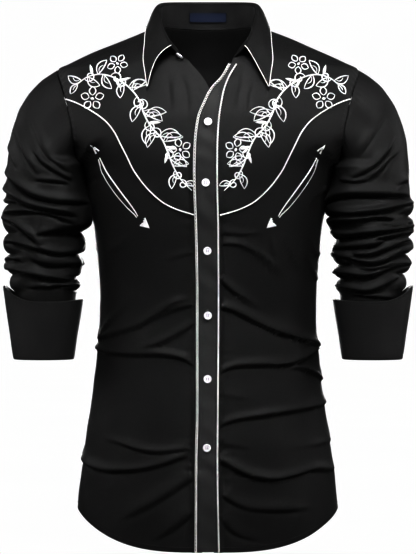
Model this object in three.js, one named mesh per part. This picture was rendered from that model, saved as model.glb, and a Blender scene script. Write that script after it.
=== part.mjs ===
// Western shirt, worn: a buttoned shirt with a collar, yokes, curved pockets and turned-back cuffs.
// Millimetres, +Z up, +X towards the wearer's left, front towards -Y.
// The origin is the middle of the neck opening, at the height of the collar seam.
import * as THREE from 'three';

// ---- Driving sizes -------------------------------------------------------------------------------
const WALL = 1.4;             // cloth with its seam allowance
const SEAM = 0.3;             // gap between two pieces at a seam
const LAY = 0.7;              // clearance of a piece that lies on a panel
const CORD_RADIUS = 1.7;      // twisted piping cord
const SIDE_HEM = -677;        // height of the hem at the side seam
const FRONT_HEM = -729;       // lowest point of the front shirt tail
const BACK_HEM = -737;        // lowest point of the back shirt tail
const ARMPIT = -200;
const YOKE_CENTRE = -268;     // height of the front yoke seam beside the placket
const CENTRE_EDGE = 8.15;     // the two fronts meet under the placket, off centre
const DEG = Math.PI / 180;

const BLACK_CLOTH = { color: 0x1d1d20, roughness: 0.62, metalness: 0 };
const WHITE_CORD = { color: 0xe4e2df, roughness: 0.75, metalness: 0 };
const PEARL = { color: 0xe9e7ea, roughness: 0.25, metalness: 0 };
const NAVY_LABEL = { color: 0x1b2338, roughness: 0.7, metalness: 0 };

// ---- Tables and how they are read ----------------------------------------------------------------
function table(columns, rows) {
  return rows.map((row) => Object.fromEntries(columns.map((name, i) => [name, row[i]])));
}

// Smooth, overshoot-free reading of one column at a key value; the key column falls or rises steadily.
const limit = (t) => Math.min(Math.max(t, 0), 1);

function read(rows, key, column, at) {
  const sign = rows[rows.length - 1][key] > rows[0][key] ? 1 : -1;
  const last = rows.length - 1;
  let i = 0;
  while (i < last - 1 && sign * at > sign * rows[i + 1][key]) i += 1;
  const step = (k) => rows[k + 1][key] - rows[k][key];
  const rise = (k) => (rows[k + 1][column] - rows[k][column]) / step(k);
  const slope = (k) => {
    if (k === 0) return rise(0);
    if (k === last) return rise(last - 1);
    const before = rise(k - 1);
    const after = rise(k);
    return before * after <= 0 ? 0 : (2 * before * after) / (before + after);
  };
  const t = limit((at - rows[i][key]) / step(i));
  const width = step(i);
  const a = rows[i][column];
  const b = rows[i + 1][column];
  return a * (1 + 2 * t) * (1 - t) ** 2 + b * t * t * (3 - 2 * t)
    + width * t * (1 - t) * (slope(i) * (1 - t) - slope(i + 1) * t);
}

const lerp = (a, b, t) => a + (b - a) * t;
const smooth = (t) => limit(t) * limit(t) * (3 - 2 * limit(t));

// ---- Torso form: level sections from the neck to the hem -----------------------------------------
// Each section is a rounded oval: half width at the side, depth to the front and back, squareness.
const sections = table(['z', 'half', 'front', 'back', 'square'], [
  [6, 68, 20, 62, 2],
  [2, 77, 28, 66, 2],
  [-7, 99, 41, 76, 2],
  [-20, 130, 53.5, 88, 2],
  [-35, 165, 66, 98, 2],
  [-50, 197, 77, 106, 2],
  [-58, 212, 81, 109, 2],
  [-75, 218, 89, 114, 2],
  [-102, 221, 100, 120, 2],
  [-130, 230, 110, 124, 2.1],
  [-155, 223, 116, 126, 2.2],
  [-180, 200, 120, 126, 2.3],
  [ARMPIT, 182, 121, 125, 2.35],
  [-247, 169, 120, 120, 2.35],
  [-282, 162, 117, 114, 2.35],
  [-318, 157.5, 113, 108, 2.35],
  [-366, 153.5, 109, 102, 2.3],
  [-405, 153, 107, 100, 2.3],
  [-461, 157, 109, 103, 2.3],
  [-508, 162, 112, 108, 2.3],
  [-588, 174, 116, 117, 2.3],
  [-669, 184, 119, 122, 2.3],
  [-740, 188, 120, 124, 2.3],
]);

// Largest folds of the worn body: a ridge from one end to the other, with a trough under it.
// Ends are x and z seen from the front or, for the back, through it; height and width of the ridge.
const folds = table(['face', 'x1', 'z1', 'x2', 'z2', 'height', 'width'], [
  ['front', 24, -398, 160, -452, 4.5, 15],
  ['front', 30, -478, 160, -458, 3.5, 14],
  ['front', 20, -608, 168, -622, 4.5, 16],
  ['front', 26, -350, 74, -402, 2.5, 12],
  ['front', 100, -298, 150, -350, 3, 13],
  ['front', -165, -458, -26, -474, 4.5, 15],
  ['front', -150, -434, -90, -378, 3.5, 14],
  ['front', -176, -618, -30, -598, 4, 16],
  ['front', -160, -322, -100, -292, 3, 14],
  ['back', -160, -452, 20, -430, 5, 16],
  ['back', 160, -448, -30, -470, 4.5, 16],
  ['back', -150, -392, 60, -384, 4, 15],
  ['back', 150, -352, -40, -350, 3.5, 15],
  ['back', -170, -618, 110, -600, 4.5, 18],
  ['back', 175, -212, 96, -176, 3.5, 14],
  ['back', -175, -212, -96, -176, 3.5, 14],
]);

// A fold fades over `fade` of its length from `beyond` past each end.
const FOLD_SHAPE = { beyond: 0.12, fade: 0.3, troughAt: 1.7, troughDepth: 0.6 };
// Folds die away above the chest, at the side seams and beside the placket.
const CALM = { chest: -130, chestFade: 60, side: 0.04, sideFade: 0.2, placket: 14, placketFade: 26 };

function foldHeight(face, x, z) {
  const { beyond, fade, troughAt, troughDepth } = FOLD_SHAPE;
  let sum = 0;
  for (const fold of folds) {
    if (fold.face !== face) continue;
    const dx = fold.x2 - fold.x1;
    const dz = fold.z2 - fold.z1;
    const length = Math.hypot(dx, dz);
    const along = ((x - fold.x1) * dx + (z - fold.z1) * dz) / (length * length);
    const across = ((z - fold.z1) * dx - (x - fold.x1) * dz) / length * Math.sign(dx);
    const ends = smooth((along + beyond) / fade) * smooth((1 + beyond - along) / fade);
    const ridge = Math.exp(-((across / fold.width) ** 2));
    const trough = Math.exp(-((across / fold.width + troughAt) ** 2));
    sum += fold.height * ends * (ridge - troughDepth * trough);
  }
  return sum;
}

const section = (z) => ({
  half: read(sections, 'z', 'half', z),
  front: read(sections, 'z', 'front', z),
  back: read(sections, 'z', 'back', z),
  square: read(sections, 'z', 'square', z),
});

// Point of the torso form; the angle turns from the front (0) past the wearer's left (90 degrees).
function torsoPoint(angle, z) {
  const { half, front, back, square } = section(z);
  const s = Math.sin(angle);
  const c = Math.cos(angle);
  const depth = c >= 0 ? front : back;
  const radius = ((Math.abs(s) / half) ** square + (Math.abs(c) / depth) ** square) ** (-1 / square);
  const x = radius * s;
  const face = c >= 0 ? 'front' : 'back';
  const belowChest = smooth((CALM.chest - z) / CALM.chestFade);
  const awayFromSide = smooth((Math.abs(c) - CALM.side) / CALM.sideFade);
  const byPlacket = c >= 0 ? smooth((Math.abs(x) - CALM.placket) / CALM.placketFade) : 1;
  const lift = foldHeight(face, x, z) * belowChest * awayFromSide * byPlacket;
  return new THREE.Vector3((radius + lift) * s, -(radius + lift) * c, z);
}

function torsoNormal(angle, z) {
  const turn = 0.01;
  const rise = 1;
  const around = torsoPoint(angle + turn, z).sub(torsoPoint(angle - turn, z));
  const upward = torsoPoint(angle, z + rise).sub(torsoPoint(angle, z - rise));
  return around.cross(upward).normalize();
}

// Angle of the front surface at a given x and height.
function frontAngle(x, z) {
  const { half, front, square } = section(z);
  const share = Math.min(Math.abs(x) / half, 1);
  return Math.atan2(x, front * (1 - share ** square) ** (1 / square));
}

function onFront(x, z, lift) {
  const angle = frontAngle(x, z);
  return torsoPoint(angle, z).addScaledVector(torsoNormal(angle, z), lift);
}

// ---- Turning grids of points into closed cloth walls ---------------------------------------------
function solid(name, positions, triangles, look) {
  let volume = 0;
  const corner = (i) => new THREE.Vector3(...positions[i]);
  for (const [a, b, c] of triangles) volume += corner(a).dot(corner(b).cross(corner(c)));
  const facing = volume > 0 ? triangles : triangles.map(([a, b, c]) => [a, c, b]);
  const geometry = new THREE.BufferGeometry();
  geometry.setAttribute('position', new THREE.Float32BufferAttribute(positions.flat(), 3));
  geometry.setIndex(facing.flat());
  geometry.computeVertexNormals();
  const mesh = new THREE.Mesh(geometry, new THREE.MeshStandardMaterial(look));
  mesh.name = name;
  return mesh;
}

// Normals of a grid from its own rows and columns; a closed grid joins its last column to its first.
function gridNormals(grid, closed) {
  const columns = grid[0].length;
  return grid.map((row, r) => row.map((_, c) => {
    const left = closed ? (c + columns - 1) % columns : Math.max(c - 1, 0);
    const right = closed ? (c + 1) % columns : Math.min(c + 1, columns - 1);
    const along = row[right].clone().sub(row[left]);
    const up = grid[Math.min(r + 1, grid.length - 1)][c].clone().sub(grid[Math.max(r - 1, 0)][c]);
    return along.cross(up).normalize();
  }));
}

// Grid normals, turned as a whole so that the measure taken from them is positive.
function outwardNormals(grid, measure, closed = false) {
  const normals = gridNormals(grid, closed);
  const sign = Math.sign(measure(normals));
  normals.flat().forEach((n) => n.multiplyScalar(sign));
  return normals;
}

// A wall whose first surface is the grid and whose second lies behind it by the wall's thickness.
function wall(name, grid, normals, look, { closed = false, thickness = WALL } = {}) {
  const rows = grid.length;
  const columns = grid[0].length;
  const positions = [];
  for (const depth of [0, thickness]) {
    for (let r = 0; r < rows; r += 1) {
      for (let c = 0; c < columns; c += 1) {
        positions.push(grid[r][c].clone().addScaledVector(normals[r][c], -depth).toArray());
      }
    }
  }
  const back = rows * columns;
  const at = (r, c) => r * columns + (c % columns);
  const triangles = [];
  const quad = (a, b, c, d) => triangles.push([a, b, c], [a, c, d]);
  const spans = closed ? columns : columns - 1;
  for (let r = 0; r < rows - 1; r += 1) {
    for (let c = 0; c < spans; c += 1) {
      quad(at(r, c), at(r, c + 1), at(r + 1, c + 1), at(r + 1, c));
      triangles.push([back + at(r, c), back + at(r + 1, c + 1), back + at(r, c + 1)]);
      triangles.push([back + at(r, c), back + at(r + 1, c), back + at(r + 1, c + 1)]);
    }
  }
  for (let c = 0; c < spans; c += 1) {
    quad(at(0, c + 1), at(0, c), back + at(0, c), back + at(0, c + 1));
    quad(at(rows - 1, c), at(rows - 1, c + 1), back + at(rows - 1, c + 1), back + at(rows - 1, c));
  }
  if (!closed) {
    const end = columns - 1;
    for (let r = 0; r < rows - 1; r += 1) {
      quad(at(r, 0), at(r + 1, 0), back + at(r + 1, 0), back + at(r, 0));
      quad(at(r + 1, end), at(r, end), back + at(r, end), back + at(r + 1, end));
    }
  }
  return solid(name, positions, triangles, look);
}

// Pull each edge of a panel back by half a seam gap, towards its next row or column.
function trimSeams(grid) {
  const pull = (edge, next) => edge.add(next.clone().sub(edge).setLength(SEAM / 2));
  const top = grid.length - 1;
  const right = grid[0].length - 1;
  grid[0].forEach((p, c) => pull(p, grid[1][c]));
  grid[top].forEach((p, c) => pull(p, grid[top - 1][c]));
  for (const row of grid) {
    pull(row[0], row[1]);
    pull(row[right], row[right - 1]);
  }
  return grid;
}

// A panel of the torso form from rows of [angle, z] places, with its side edges set where given.
function torsoPanel(name, places, { first, last } = {}) {
  const grid = places.map((row) => row.map(([angle, z]) => torsoPoint(angle, z)));
  if (first) first.forEach((point, r) => grid[r][0].copy(point));
  if (last) last.forEach((point, r) => grid[r][grid[r].length - 1].copy(point));
  const normals = places.map((row) => row.map(([angle, z]) => torsoNormal(angle, z)));
  return wall(name, trimSeams(grid), normals, BLACK_CLOTH);
}

// ---- Lines that the pieces share -----------------------------------------------------------------
// Armhole seam from the shoulder tip to the armpit: turn from the front, and from the back.
const armhole = table(['z', 'front', 'back'], [
  [-58, 90, 90],
  [-72, 84.5, 84],
  [-87, 81, 80.5],
  [-102, 78.5, 77.5],
  [-118, 74.5, 73.5],
  [-135, 71.5, 70],
  [-152, 70.5, 69],
  [-169, 71.5, 70],
  [-185, 76, 74.5],
  [-196, 83, 82],
  [ARMPIT, 90, 90],
]);
const YOKE_STEP = 3;          // the yoke seams meet the armhole at this row of the table
const LAST_STEP = armhole.length - 1;

// Place on the armhole a number of table rows below the shoulder tip, on the front or back.
function armholePlace(step, face) {
  const i = Math.min(Math.floor(step), LAST_STEP - 1);
  const t = step - i;
  return [lerp(armhole[i][face], armhole[i + 1][face], t), lerp(armhole[i].z, armhole[i + 1].z, t)];
}

// Front yoke seam, falling in a western curve from the armhole to the placket.
const yokeSeam = table(['angle', 'z'], [
  [-5, YOKE_CENTRE],
  [5, YOKE_CENTRE],
  [17, -262],
  [27, -252],
  [36, -233],
  [43.6, -206],
  [48, -178],
  [52.5, -153],
  [58, -135],
  [66, -119],
  [74, -107],
  [78.5, -102],
]);

// Back yoke seam, level at the armholes with a point at the centre back.
const backYokeSeam = table(['turn', 'z'], [
  [0, -196],
  [14, -178],
  [32, -152],
  [52, -130],
  [68, -112],
  [77.5, -102],
]);

// Neckline from the front edge round to the centre back, and the edge of each front above the chest.
const FRONT_NECK_ANGLE = { left: 25, right: 19 };
const NECK_POINT = 6;         // height of the neckline on the shoulder seam
const neckline = table(['angle', 'z'], [
  [18, -53],
  [25, -48],
  [34, -35],
  [48, -20],
  [62, -7],
  [76, 2],
  [90, NECK_POINT],
  [180, 5],
]);
// The open front edges turn away above the top fastened button.
const openEdge = {
  left: table(['z', 'x'], [
    [YOKE_CENTRE, CENTRE_EDGE],
    [-140, CENTRE_EDGE],
    [-98, 12],
    [-74, 24],
    [-48, 35.5],
  ]),
  right: table(['z', 'x'], [
    [YOKE_CENTRE, -CENTRE_EDGE],
    [-112, -CENTRE_EDGE],
    [-88, 0],
    [-70, 12],
    [-53, 27],
  ]),
};

// Height of the curved hem at an angle of the torso, in degrees.
const TAIL_SECTION = -700;
const HEM_SQUARENESS = 3.4;
function tailHeight(angle, lowest) {
  const share = Math.abs(torsoPoint(angle * DEG, TAIL_SECTION).x) / section(TAIL_SECTION).half;
  return lerp(lowest, SIDE_HEM, share ** HEM_SQUARENESS);
}

const yokeSeamHeight = (angle) => read(yokeSeam, 'angle', 'z', angle);
const backYokeHeight = (turn) => read(backYokeSeam, 'turn', 'z', Math.abs(turn));

// How far a curve lies from the straight line between its own two ends.
const bow = (curve, from, to, t) => curve(lerp(from, to, t)) - lerp(curve(from), curve(to), t);

// Point of the armhole seam; between two rows of the table it lies on the straight line joining them.
function armholeSeam(step, face, mirror) {
  const corner = (i) => {
    const [turn, z] = armholePlace(i, face);
    return torsoPoint(mirror * (face === 'front' ? turn : 180 - turn) * DEG, z);
  };
  return corner(Math.floor(step)).lerp(corner(Math.ceil(step)), step % 1);
}

// ---- Fronts --------------------------------------------------------------------------------------
const FRONT_COLUMNS = 11;
const BODY_ROWS = 12;         // hem to armpit, closer together towards the armpit
const SCYE_ROWS = LAST_STEP - YOKE_STEP;
const ROW_CROWDING = 1.15;
const mirrors = { left: 1, right: -1 };
const sideHeight = (row) => lerp(SIDE_HEM, ARMPIT, 1 - (1 - row / BODY_ROWS) ** ROW_CROWDING);

function frontPanel(side) {
  const mirror = mirrors[side];
  const rows = BODY_ROWS + SCYE_ROWS;
  const centreX = mirror * CENTRE_EDGE;
  const places = [];
  for (let r = 0; r <= rows; r += 1) {
    const t = r / rows;
    const outer = r <= BODY_ROWS
      ? [90, sideHeight(r)]
      : armholePlace(LAST_STEP - (r - BODY_ROWS), 'front');
    const centreZ = lerp(FRONT_HEM, YOKE_CENTRE, t);
    const inner = frontAngle(centreX, centreZ) / DEG;
    const row = [];
    for (let c = 0; c <= FRONT_COLUMNS; c += 1) {
      const u = c / FRONT_COLUMNS;
      const angle = lerp(inner, outer[0], u);
      const straight = lerp(centreZ, outer[1], u);
      const tail = bow((a) => tailHeight(a, FRONT_HEM), inner, outer[0], u);
      const yoke = bow(yokeSeamHeight, inner, outer[0], u);
      const z = straight + tail * (1 - t) ** 2 + yoke * t ** 3;
      row.push([mirror * angle * DEG, z]);
    }
    places.push(row);
  }
  return torsoPanel(`front_${side}`, places);
}

// ---- Front yokes ---------------------------------------------------------------------------------
const OPEN_ROWS = 4;          // up the open front edge
const NECK_ROWS = 5;          // along the neckline to the shoulder

function frontNeckPlace(step, side) {
  const angle = lerp(FRONT_NECK_ANGLE[side], 90, step / NECK_ROWS);
  return [angle, read(neckline, 'angle', 'z', angle)];
}

function frontYoke(side) {
  const mirror = mirrors[side];
  const rows = OPEN_ROWS + NECK_ROWS;
  const corner = frontNeckPlace(0, side);
  const places = [];
  for (let r = 0; r <= rows; r += 1) {
    const t = r / rows;
    const outer = armholePlace(YOKE_STEP * (1 - t), 'front');
    let inner = null;
    if (r < OPEN_ROWS) {
      const z = lerp(YOKE_CENTRE, corner[1], r / OPEN_ROWS);
      inner = [frontAngle(read(openEdge[side], 'z', 'x', z), z) / DEG, z];
    } else {
      inner = frontNeckPlace(r - OPEN_ROWS, side);
    }
    const row = [];
    for (let c = 0; c <= FRONT_COLUMNS; c += 1) {
      const u = c / FRONT_COLUMNS;
      const angle = lerp(inner[0], outer[0], u);
      const straight = lerp(inner[1], outer[1], u);
      const seam = bow(yokeSeamHeight, inner[0], outer[0], u);
      row.push([mirror * angle * DEG, straight + seam * (1 - t) ** 3]);
    }
    places.push(row);
  }
  const ends = places.map((_, r) => armholeSeam(YOKE_STEP * (1 - r / rows), 'front', mirror));
  return torsoPanel(`front_yoke_${side}`, places, { last: ends });
}

// ---- Back and back yoke --------------------------------------------------------------------------
const BACK_COLUMNS = 20;

function backPanel() {
  const rows = BODY_ROWS + SCYE_ROWS;
  const places = [];
  for (let r = 0; r <= rows; r += 1) {
    const t = r / rows;
    const edge = r <= BODY_ROWS
      ? [90, sideHeight(r)]
      : armholePlace(LAST_STEP - (r - BODY_ROWS), 'back');
    const row = [];
    for (let c = 0; c <= BACK_COLUMNS; c += 1) {
      const turn = lerp(-edge[0], edge[0], c / BACK_COLUMNS);
      const tail = bow((a) => tailHeight(a, BACK_HEM), -edge[0], edge[0], c / BACK_COLUMNS);
      const seam = bow(backYokeHeight, -edge[0], edge[0], c / BACK_COLUMNS);
      const z = edge[1] + tail * (1 - t) ** 2 + seam * t ** 3;
      row.push([(180 - turn) * DEG, z]);
    }
    places.push(row);
  }
  return torsoPanel('back', places);
}

const SHOULDER_COLUMNS = 6;   // armhole to neckline
const BACK_NECK_COLUMNS = BACK_COLUMNS - 2 * SHOULDER_COLUMNS;

function backYokeTop(column) {
  const fromEnd = Math.min(column, BACK_COLUMNS - column);
  const side = column < BACK_COLUMNS / 2 ? -1 : 1;
  if (fromEnd <= SHOULDER_COLUMNS) {
    return [side * 90, lerp(armhole[0].z, NECK_POINT, fromEnd / SHOULDER_COLUMNS)];
  }
  const turn = lerp(90, 0, (fromEnd - SHOULDER_COLUMNS) / (BACK_NECK_COLUMNS / 2));
  return [side * turn, read(neckline, 'angle', 'z', 180 - turn)];
}

function backYoke() {
  const rows = 2 * YOKE_STEP;
  const places = [];
  for (let r = 0; r <= rows; r += 1) {
    const t = r / rows;
    const row = [];
    for (let c = 0; c <= BACK_COLUMNS; c += 1) {
      const top = backYokeTop(c);
      const low = lerp(-armhole[YOKE_STEP].back, armhole[YOKE_STEP].back, c / BACK_COLUMNS);
      row.push([(180 - lerp(low, top[0], t)) * DEG, lerp(backYokeHeight(low), top[1], t)]);
    }
    places.push(row);
  }
  const ends = (mirror) => places.map((_, r) => armholeSeam(YOKE_STEP * (1 - r / rows), 'back', mirror));
  return torsoPanel('back_yoke', places, { first: ends(-1), last: ends(1) });
}

// ---- Sleeves -------------------------------------------------------------------------------------
// Rings down the arm: centre from the midline, forward shift, half sizes across and front to back.
const armRings = table(['z', 'x', 'y', 'across', 'deep'], [
  [-216, 232, -10, 52.5, 60],
  [-246, 231, -14, 56.5, 58],
  [-300, 231, -20, 56.5, 57],
  [-335, 231, -24, 52.5, 53],
  [-372, 229, -27, 44.5, 47],
  [-400, 230, -29, 41.5, 43.5],
  [-462, 230.5, -30, 40.6, 42.1],
]);
// Rows of the sleeve from its first full ring: height at the outer arm, how much lower (-) the row lies
// beside the body, and how far it stands out. Ridges and troughs of the bunched cloth take turns.
const armRows = table(['z', 'fall', 'lift'], [
  [-216, 0, 0],
  [-229, -16, 3.5],
  [-243, -8, -2],
  [-257, 1, 4],
  [-270, 1, -3],
  [-284, -6, 4.5],
  [-297, -3, -3],
  [-310, 4, 4],
  [-323, 0, -4],
  [-336, -6, 4],
  [-349, -8, -3],
  [-362, -8, 2],
  [-379, -3, -2],
  [-398, 0, 0],
  [-462, 0, 0],
]);
const RING_STEPS = 2 * LAST_STEP;
const CAP_ROWS = 6;           // armhole to the first full ring
const CAP_DIP = { shoulder: 27, armpit: 84 };   // degrees below level at which the sleeve leaves
const CAP_FULLNESS = 1.08;
const UNEVEN = { share: 0.25, drop: 17 };       // how the ridges swell and thin on their way round
const ARM_TO_BODY = 2.2;      // the sleeve stays this far clear of the side of the body

function armRing({ z: outerZ, fall, lift }, step) {
  const turn = (step / RING_STEPS) * 2 * Math.PI;
  const outward = Math.cos(turn);
  const forward = Math.sin(turn);
  const z = outerZ + fall * (1 - outward) / 2;
  const ring = (column) => read(armRings, 'z', column, z);
  const uneven = lift * (1 + UNEVEN.share * Math.sin(2 * turn + z / UNEVEN.drop));
  const x = ring('x') + (ring('across') + uneven) * outward;
  return new THREE.Vector3(
    Math.max(x, section(z).half + ARM_TO_BODY),
    ring('y') - (ring('deep') + uneven) * forward,
    z,
  );
}

// Armhole point as the sleeve sees it: front steps run down from the shoulder tip, back steps up again.
function armholePoint(step) {
  return step <= LAST_STEP ? armholeSeam(step, 'front', 1) : armholeSeam(RING_STEPS - step, 'back', 1);
}

function sleeve(side) {
  const mirror = mirrors[side];
  const grid = [];
  for (let r = 0; r < CAP_ROWS; r += 1) {
    const row = [];
    for (let step = 0; step < RING_STEPS; step += 1) {
      // A curve that leaves the armhole outwards and comes into the first ring straight down.
      const start = armholePoint(step);
      const end = armRing(armRows[0], step);
      const below = (1 - Math.cos((step / RING_STEPS) * 2 * Math.PI)) / 2;
      const dip = lerp(CAP_DIP.shoulder, CAP_DIP.armpit, below) * DEG;
      const leave = new THREE.Vector3(Math.cos(dip), 0, -Math.sin(dip));
      start.addScaledVector(leave, SEAM);
      const reach = start.distanceTo(end) * CAP_FULLNESS;
      const t = r / CAP_ROWS;
      row.push(start.clone().multiplyScalar((1 + 2 * t) * (1 - t) ** 2)
        .addScaledVector(end, t * t * (3 - 2 * t))
        .addScaledVector(leave, reach * t * (1 - t) ** 2)
        .addScaledVector(new THREE.Vector3(0, 0, 1), reach * t * t * (1 - t)));
    }
    grid.push(row);
  }
  for (const place of armRows) {
    grid.push(Array.from({ length: RING_STEPS }, (_, step) => armRing(place, step)));
  }
  grid.flat().forEach((p) => p.setX(p.x * mirror));
  const normals = outwardNormals(grid, (n) => n[CAP_ROWS][0].x * mirror, true);
  return wall(`sleeve_${side}`, grid, normals, BLACK_CLOTH, { closed: true });
}

// ---- Cuffs: turned back over the sleeve and flaring up to a free edge ----------------------------
// The free edge is level in front and behind, and rises to a tip at the outer and the inner side.
const CUFF_CENTRE = { x: 231, y: -30 };
const CUFF_FOLD = { z: -467, across: 42.4, deep: 43.9 };
const CUFF_TOP = { across: 56.3, deep: 53, outer: -364, inner: -383, front: -387, sharpness: 2.5 };
const CUFF_ROWS = 3;

function cuff(side) {
  const mirror = mirrors[side];
  const grid = [];
  for (let r = 0; r <= CUFF_ROWS; r += 1) {
    const t = r / CUFF_ROWS;
    const row = [];
    for (let step = 0; step < RING_STEPS; step += 1) {
      const turn = (step / RING_STEPS) * 2 * Math.PI;
      const outward = Math.cos(turn);
      const forward = Math.sin(turn);
      const tips = outward > 0 ? CUFF_TOP.outer : CUFF_TOP.inner;
      const top = lerp(CUFF_TOP.front, tips, Math.abs(outward) ** CUFF_TOP.sharpness);
      const z = lerp(CUFF_FOLD.z, top, t);
      const across = lerp(CUFF_FOLD.across, CUFF_TOP.across, t);
      const deep = lerp(CUFF_FOLD.deep, CUFF_TOP.deep, t);
      const x = (CUFF_CENTRE.x + across * outward) * mirror;
      row.push(new THREE.Vector3(x, CUFF_CENTRE.y - deep * forward, z));
    }
    grid.push(row);
  }
  const normals = outwardNormals(grid, (n) => n[1][0].x * mirror, true);
  return wall(`cuff_${side}`, grid, normals, BLACK_CLOTH, { closed: true });
}

// ---- Collar --------------------------------------------------------------------------------------
// Round the neck from the front end to the centre back. The roll is the folded top of the collar and
// the edge is the free edge of the leaf.
const collarLine = table(['at', 'rollX', 'rollY', 'rollZ', 'edgeX', 'edgeY', 'edgeZ'], [
  [0, 51, -80, -31, 84, -94, -89],
  [0.12, 56.5, -71, -21, 86.5, -88, -70],
  [0.26, 62, -58, -7, 89.5, -76, -48],
  [0.42, 67.5, -36, 13, 88.5, -56, -26],
  [0.56, 70.5, -12, 28, 88, -27, -7],
  [0.68, 70, 16, 38, 87.5, 8, 4],
  [0.82, 54, 48, 44, 68, 56, 2],
  [1, 0, 68, 47, 0, 85, -5],
]);
const COLLAR_CORD = 1.5;
const COLLAR_CORD_STEPS = 48;
const NECK_COLUMNS = NECK_ROWS + BACK_NECK_COLUMNS / 2;   // front end to centre back
const STAND_TOP = { inward: 3, drop: 4 };
const STAND_ROWS = 2;

function necklinePoint(column, side) {
  const onFrontHalf = column <= NECK_ROWS;
  const backStep = (column - NECK_ROWS) / (BACK_NECK_COLUMNS / 2);
  const angle = onFrontHalf ? frontNeckPlace(column, side)[0] : lerp(90, 180, backStep);
  return torsoPoint(angle * DEG, read(neckline, 'angle', 'z', angle));
}

function collarColumn(column, side) {
  const at = column / NECK_COLUMNS;
  const get = (name) => read(collarLine, 'at', name, at);
  const roll = new THREE.Vector3(get('rollX'), get('rollY'), get('rollZ'));
  const edge = new THREE.Vector3(get('edgeX'), get('edgeY'), get('edgeZ'));
  const outward = new THREE.Vector3(roll.x, roll.y, 0).normalize();
  const base = necklinePoint(column, side);
  const top = roll.clone().addScaledVector(outward, -STAND_TOP.inward);
  top.z -= STAND_TOP.drop;
  return { roll, edge, outward, base, top };
}

// All columns from the wearer's right front end, round the back, to the left front end.
function collarColumns() {
  const half = (side) => Array.from({ length: NECK_COLUMNS + 1 }, (_, i) => collarColumn(i, side));
  const flip = (v) => new THREE.Vector3(-v.x, v.y, v.z);
  const right = half('right').map((column) => Object.fromEntries(
    Object.entries(column).map(([key, v]) => [key, flip(v)]),
  ));
  return [...right, ...half('left').reverse().slice(1)];
}

const neckwardNormals = (stand) => outwardNormals(stand, (n) => -n[0][NECK_COLUMNS].y);

// The grid is the neck side of the stand; its other side rises from the neckline seam.
function standGrid(columns) {
  const grid = [];
  for (let r = 0; r <= STAND_ROWS; r += 1) {
    grid.push(columns.map(({ base, top }) => base.clone().lerp(top, r / STAND_ROWS)));
  }
  const up = new THREE.Vector3(0, 0, SEAM);
  neckwardNormals(grid)[0].forEach((n, c) => grid[0][c].addScaledVector(n, WALL).add(up));
  return grid;
}

const LEAF_ROWS = 5;          // roll to free edge
const LEAF = { bulge: 3.2, shoulderIn: 1.7, shoulderDrop: 0.9 };

function leafGrid(columns, stand) {
  const above = (top, c) => top.clone().sub(stand[0][c]).setLength(2 * SEAM).add(top);
  const shoulder = new THREE.Vector3(0, 0, -LEAF.shoulderDrop);
  const grid = [
    stand[STAND_ROWS].map(above),
    columns.map(({ roll, outward }) => roll.clone().addScaledVector(outward, -LEAF.shoulderIn).add(shoulder)),
  ];
  for (let r = 0; r <= LEAF_ROWS; r += 1) {
    const t = r / LEAF_ROWS;
    grid.push(columns.map(({ roll, edge, outward }) => roll.clone().lerp(edge, t)
      .addScaledVector(outward, LEAF.bulge * Math.sin(Math.PI * Math.sqrt(t)))));
  }
  return grid;
}

// The leaf starts square on the top of the stand, so its first row takes the stand's own normals.
function collarLeaf(leaf, stand) {
  const normals = outwardNormals(leaf, (n) => n[4][NECK_COLUMNS].y);
  normals[0] = neckwardNormals(stand)[STAND_ROWS];
  return wall('collar_leaf', leaf, normals, BLACK_CLOTH);
}

// ---- Cords, placket, pockets and buttons ---------------------------------------------------------
const CORD_SIDES = 6;

function cord(name, points, steps, radius = CORD_RADIUS) {
  const outline = new THREE.Shape();
  for (let i = 0; i < CORD_SIDES; i += 1) {
    const turn = (i / CORD_SIDES) * 2 * Math.PI;
    outline[i === 0 ? 'moveTo' : 'lineTo'](radius * Math.cos(turn), radius * Math.sin(turn));
  }
  const path = new THREE.CatmullRomCurve3(points, false, 'centripetal');
  const geometry = new THREE.ExtrudeGeometry(outline, { steps, extrudePath: path, bevelEnabled: false });
  const mesh = new THREE.Mesh(geometry, new THREE.MeshStandardMaterial(WHITE_CORD));
  mesh.name = name;
  return mesh;
}

// Placket edges by height: the left front's band turns aside at the open neck.
const placketEdges = table(['z', 'low', 'high'], [
  [-728, -16.5, 14.5],
  [-606, -16, 12.5],
  [-538, -14.5, 13],
  [-384, -14.5, 14],
  [-290, -16, 13.5],
  [-209, -18.5, 12],
  [-170, -17.5, 12.5],
  [-136, -13.5, 14.5],
  [-112, -4.5, 18],
  [-95, 4, 21.5],
  [-76, 20, 28.5],
  [-58, 30, 39],
]);
const PLACKET_ROWS = 30;
const PLACKET_TOP = -58;
const PLACKET_CORD_STEPS = 40;

const placketEdge = (z, edge) => read(placketEdges, 'z', edge, z);
const placketX = (z, share) => lerp(placketEdge(z, 'low'), placketEdge(z, 'high'), share);
const placketHeights = Array.from(
  { length: PLACKET_ROWS + 1 },
  (_, r) => lerp(FRONT_HEM + 1, PLACKET_TOP, r / PLACKET_ROWS),
);

function placket() {
  const across = (z) => [0, 0.5, 1].map((share) => onFront(placketX(z, share), z, LAY + WALL));
  const grid = placketHeights.map(across);
  return wall('placket', grid, outwardNormals(grid, (n) => -n[0][0].y), BLACK_CLOTH);
}

// A cord lies on the front beside one edge of the placket.
function placketCord(side) {
  const edge = side === 'left' ? 1 : 0;
  const beside = mirrors[side] * (CORD_RADIUS + LAY);
  const points = placketHeights.map((z) => onFront(placketX(z, edge) + beside, z, LAY + CORD_RADIUS));
  return cord(`placket_cord_${side}`, points, PLACKET_CORD_STEPS);
}

// The yoke cords run from beside the placket cords to just short of the armholes.
const YOKE_CORD = { fromX: { left: 18.4, right: 21.3 }, toAngle: 77.8 };

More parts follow.
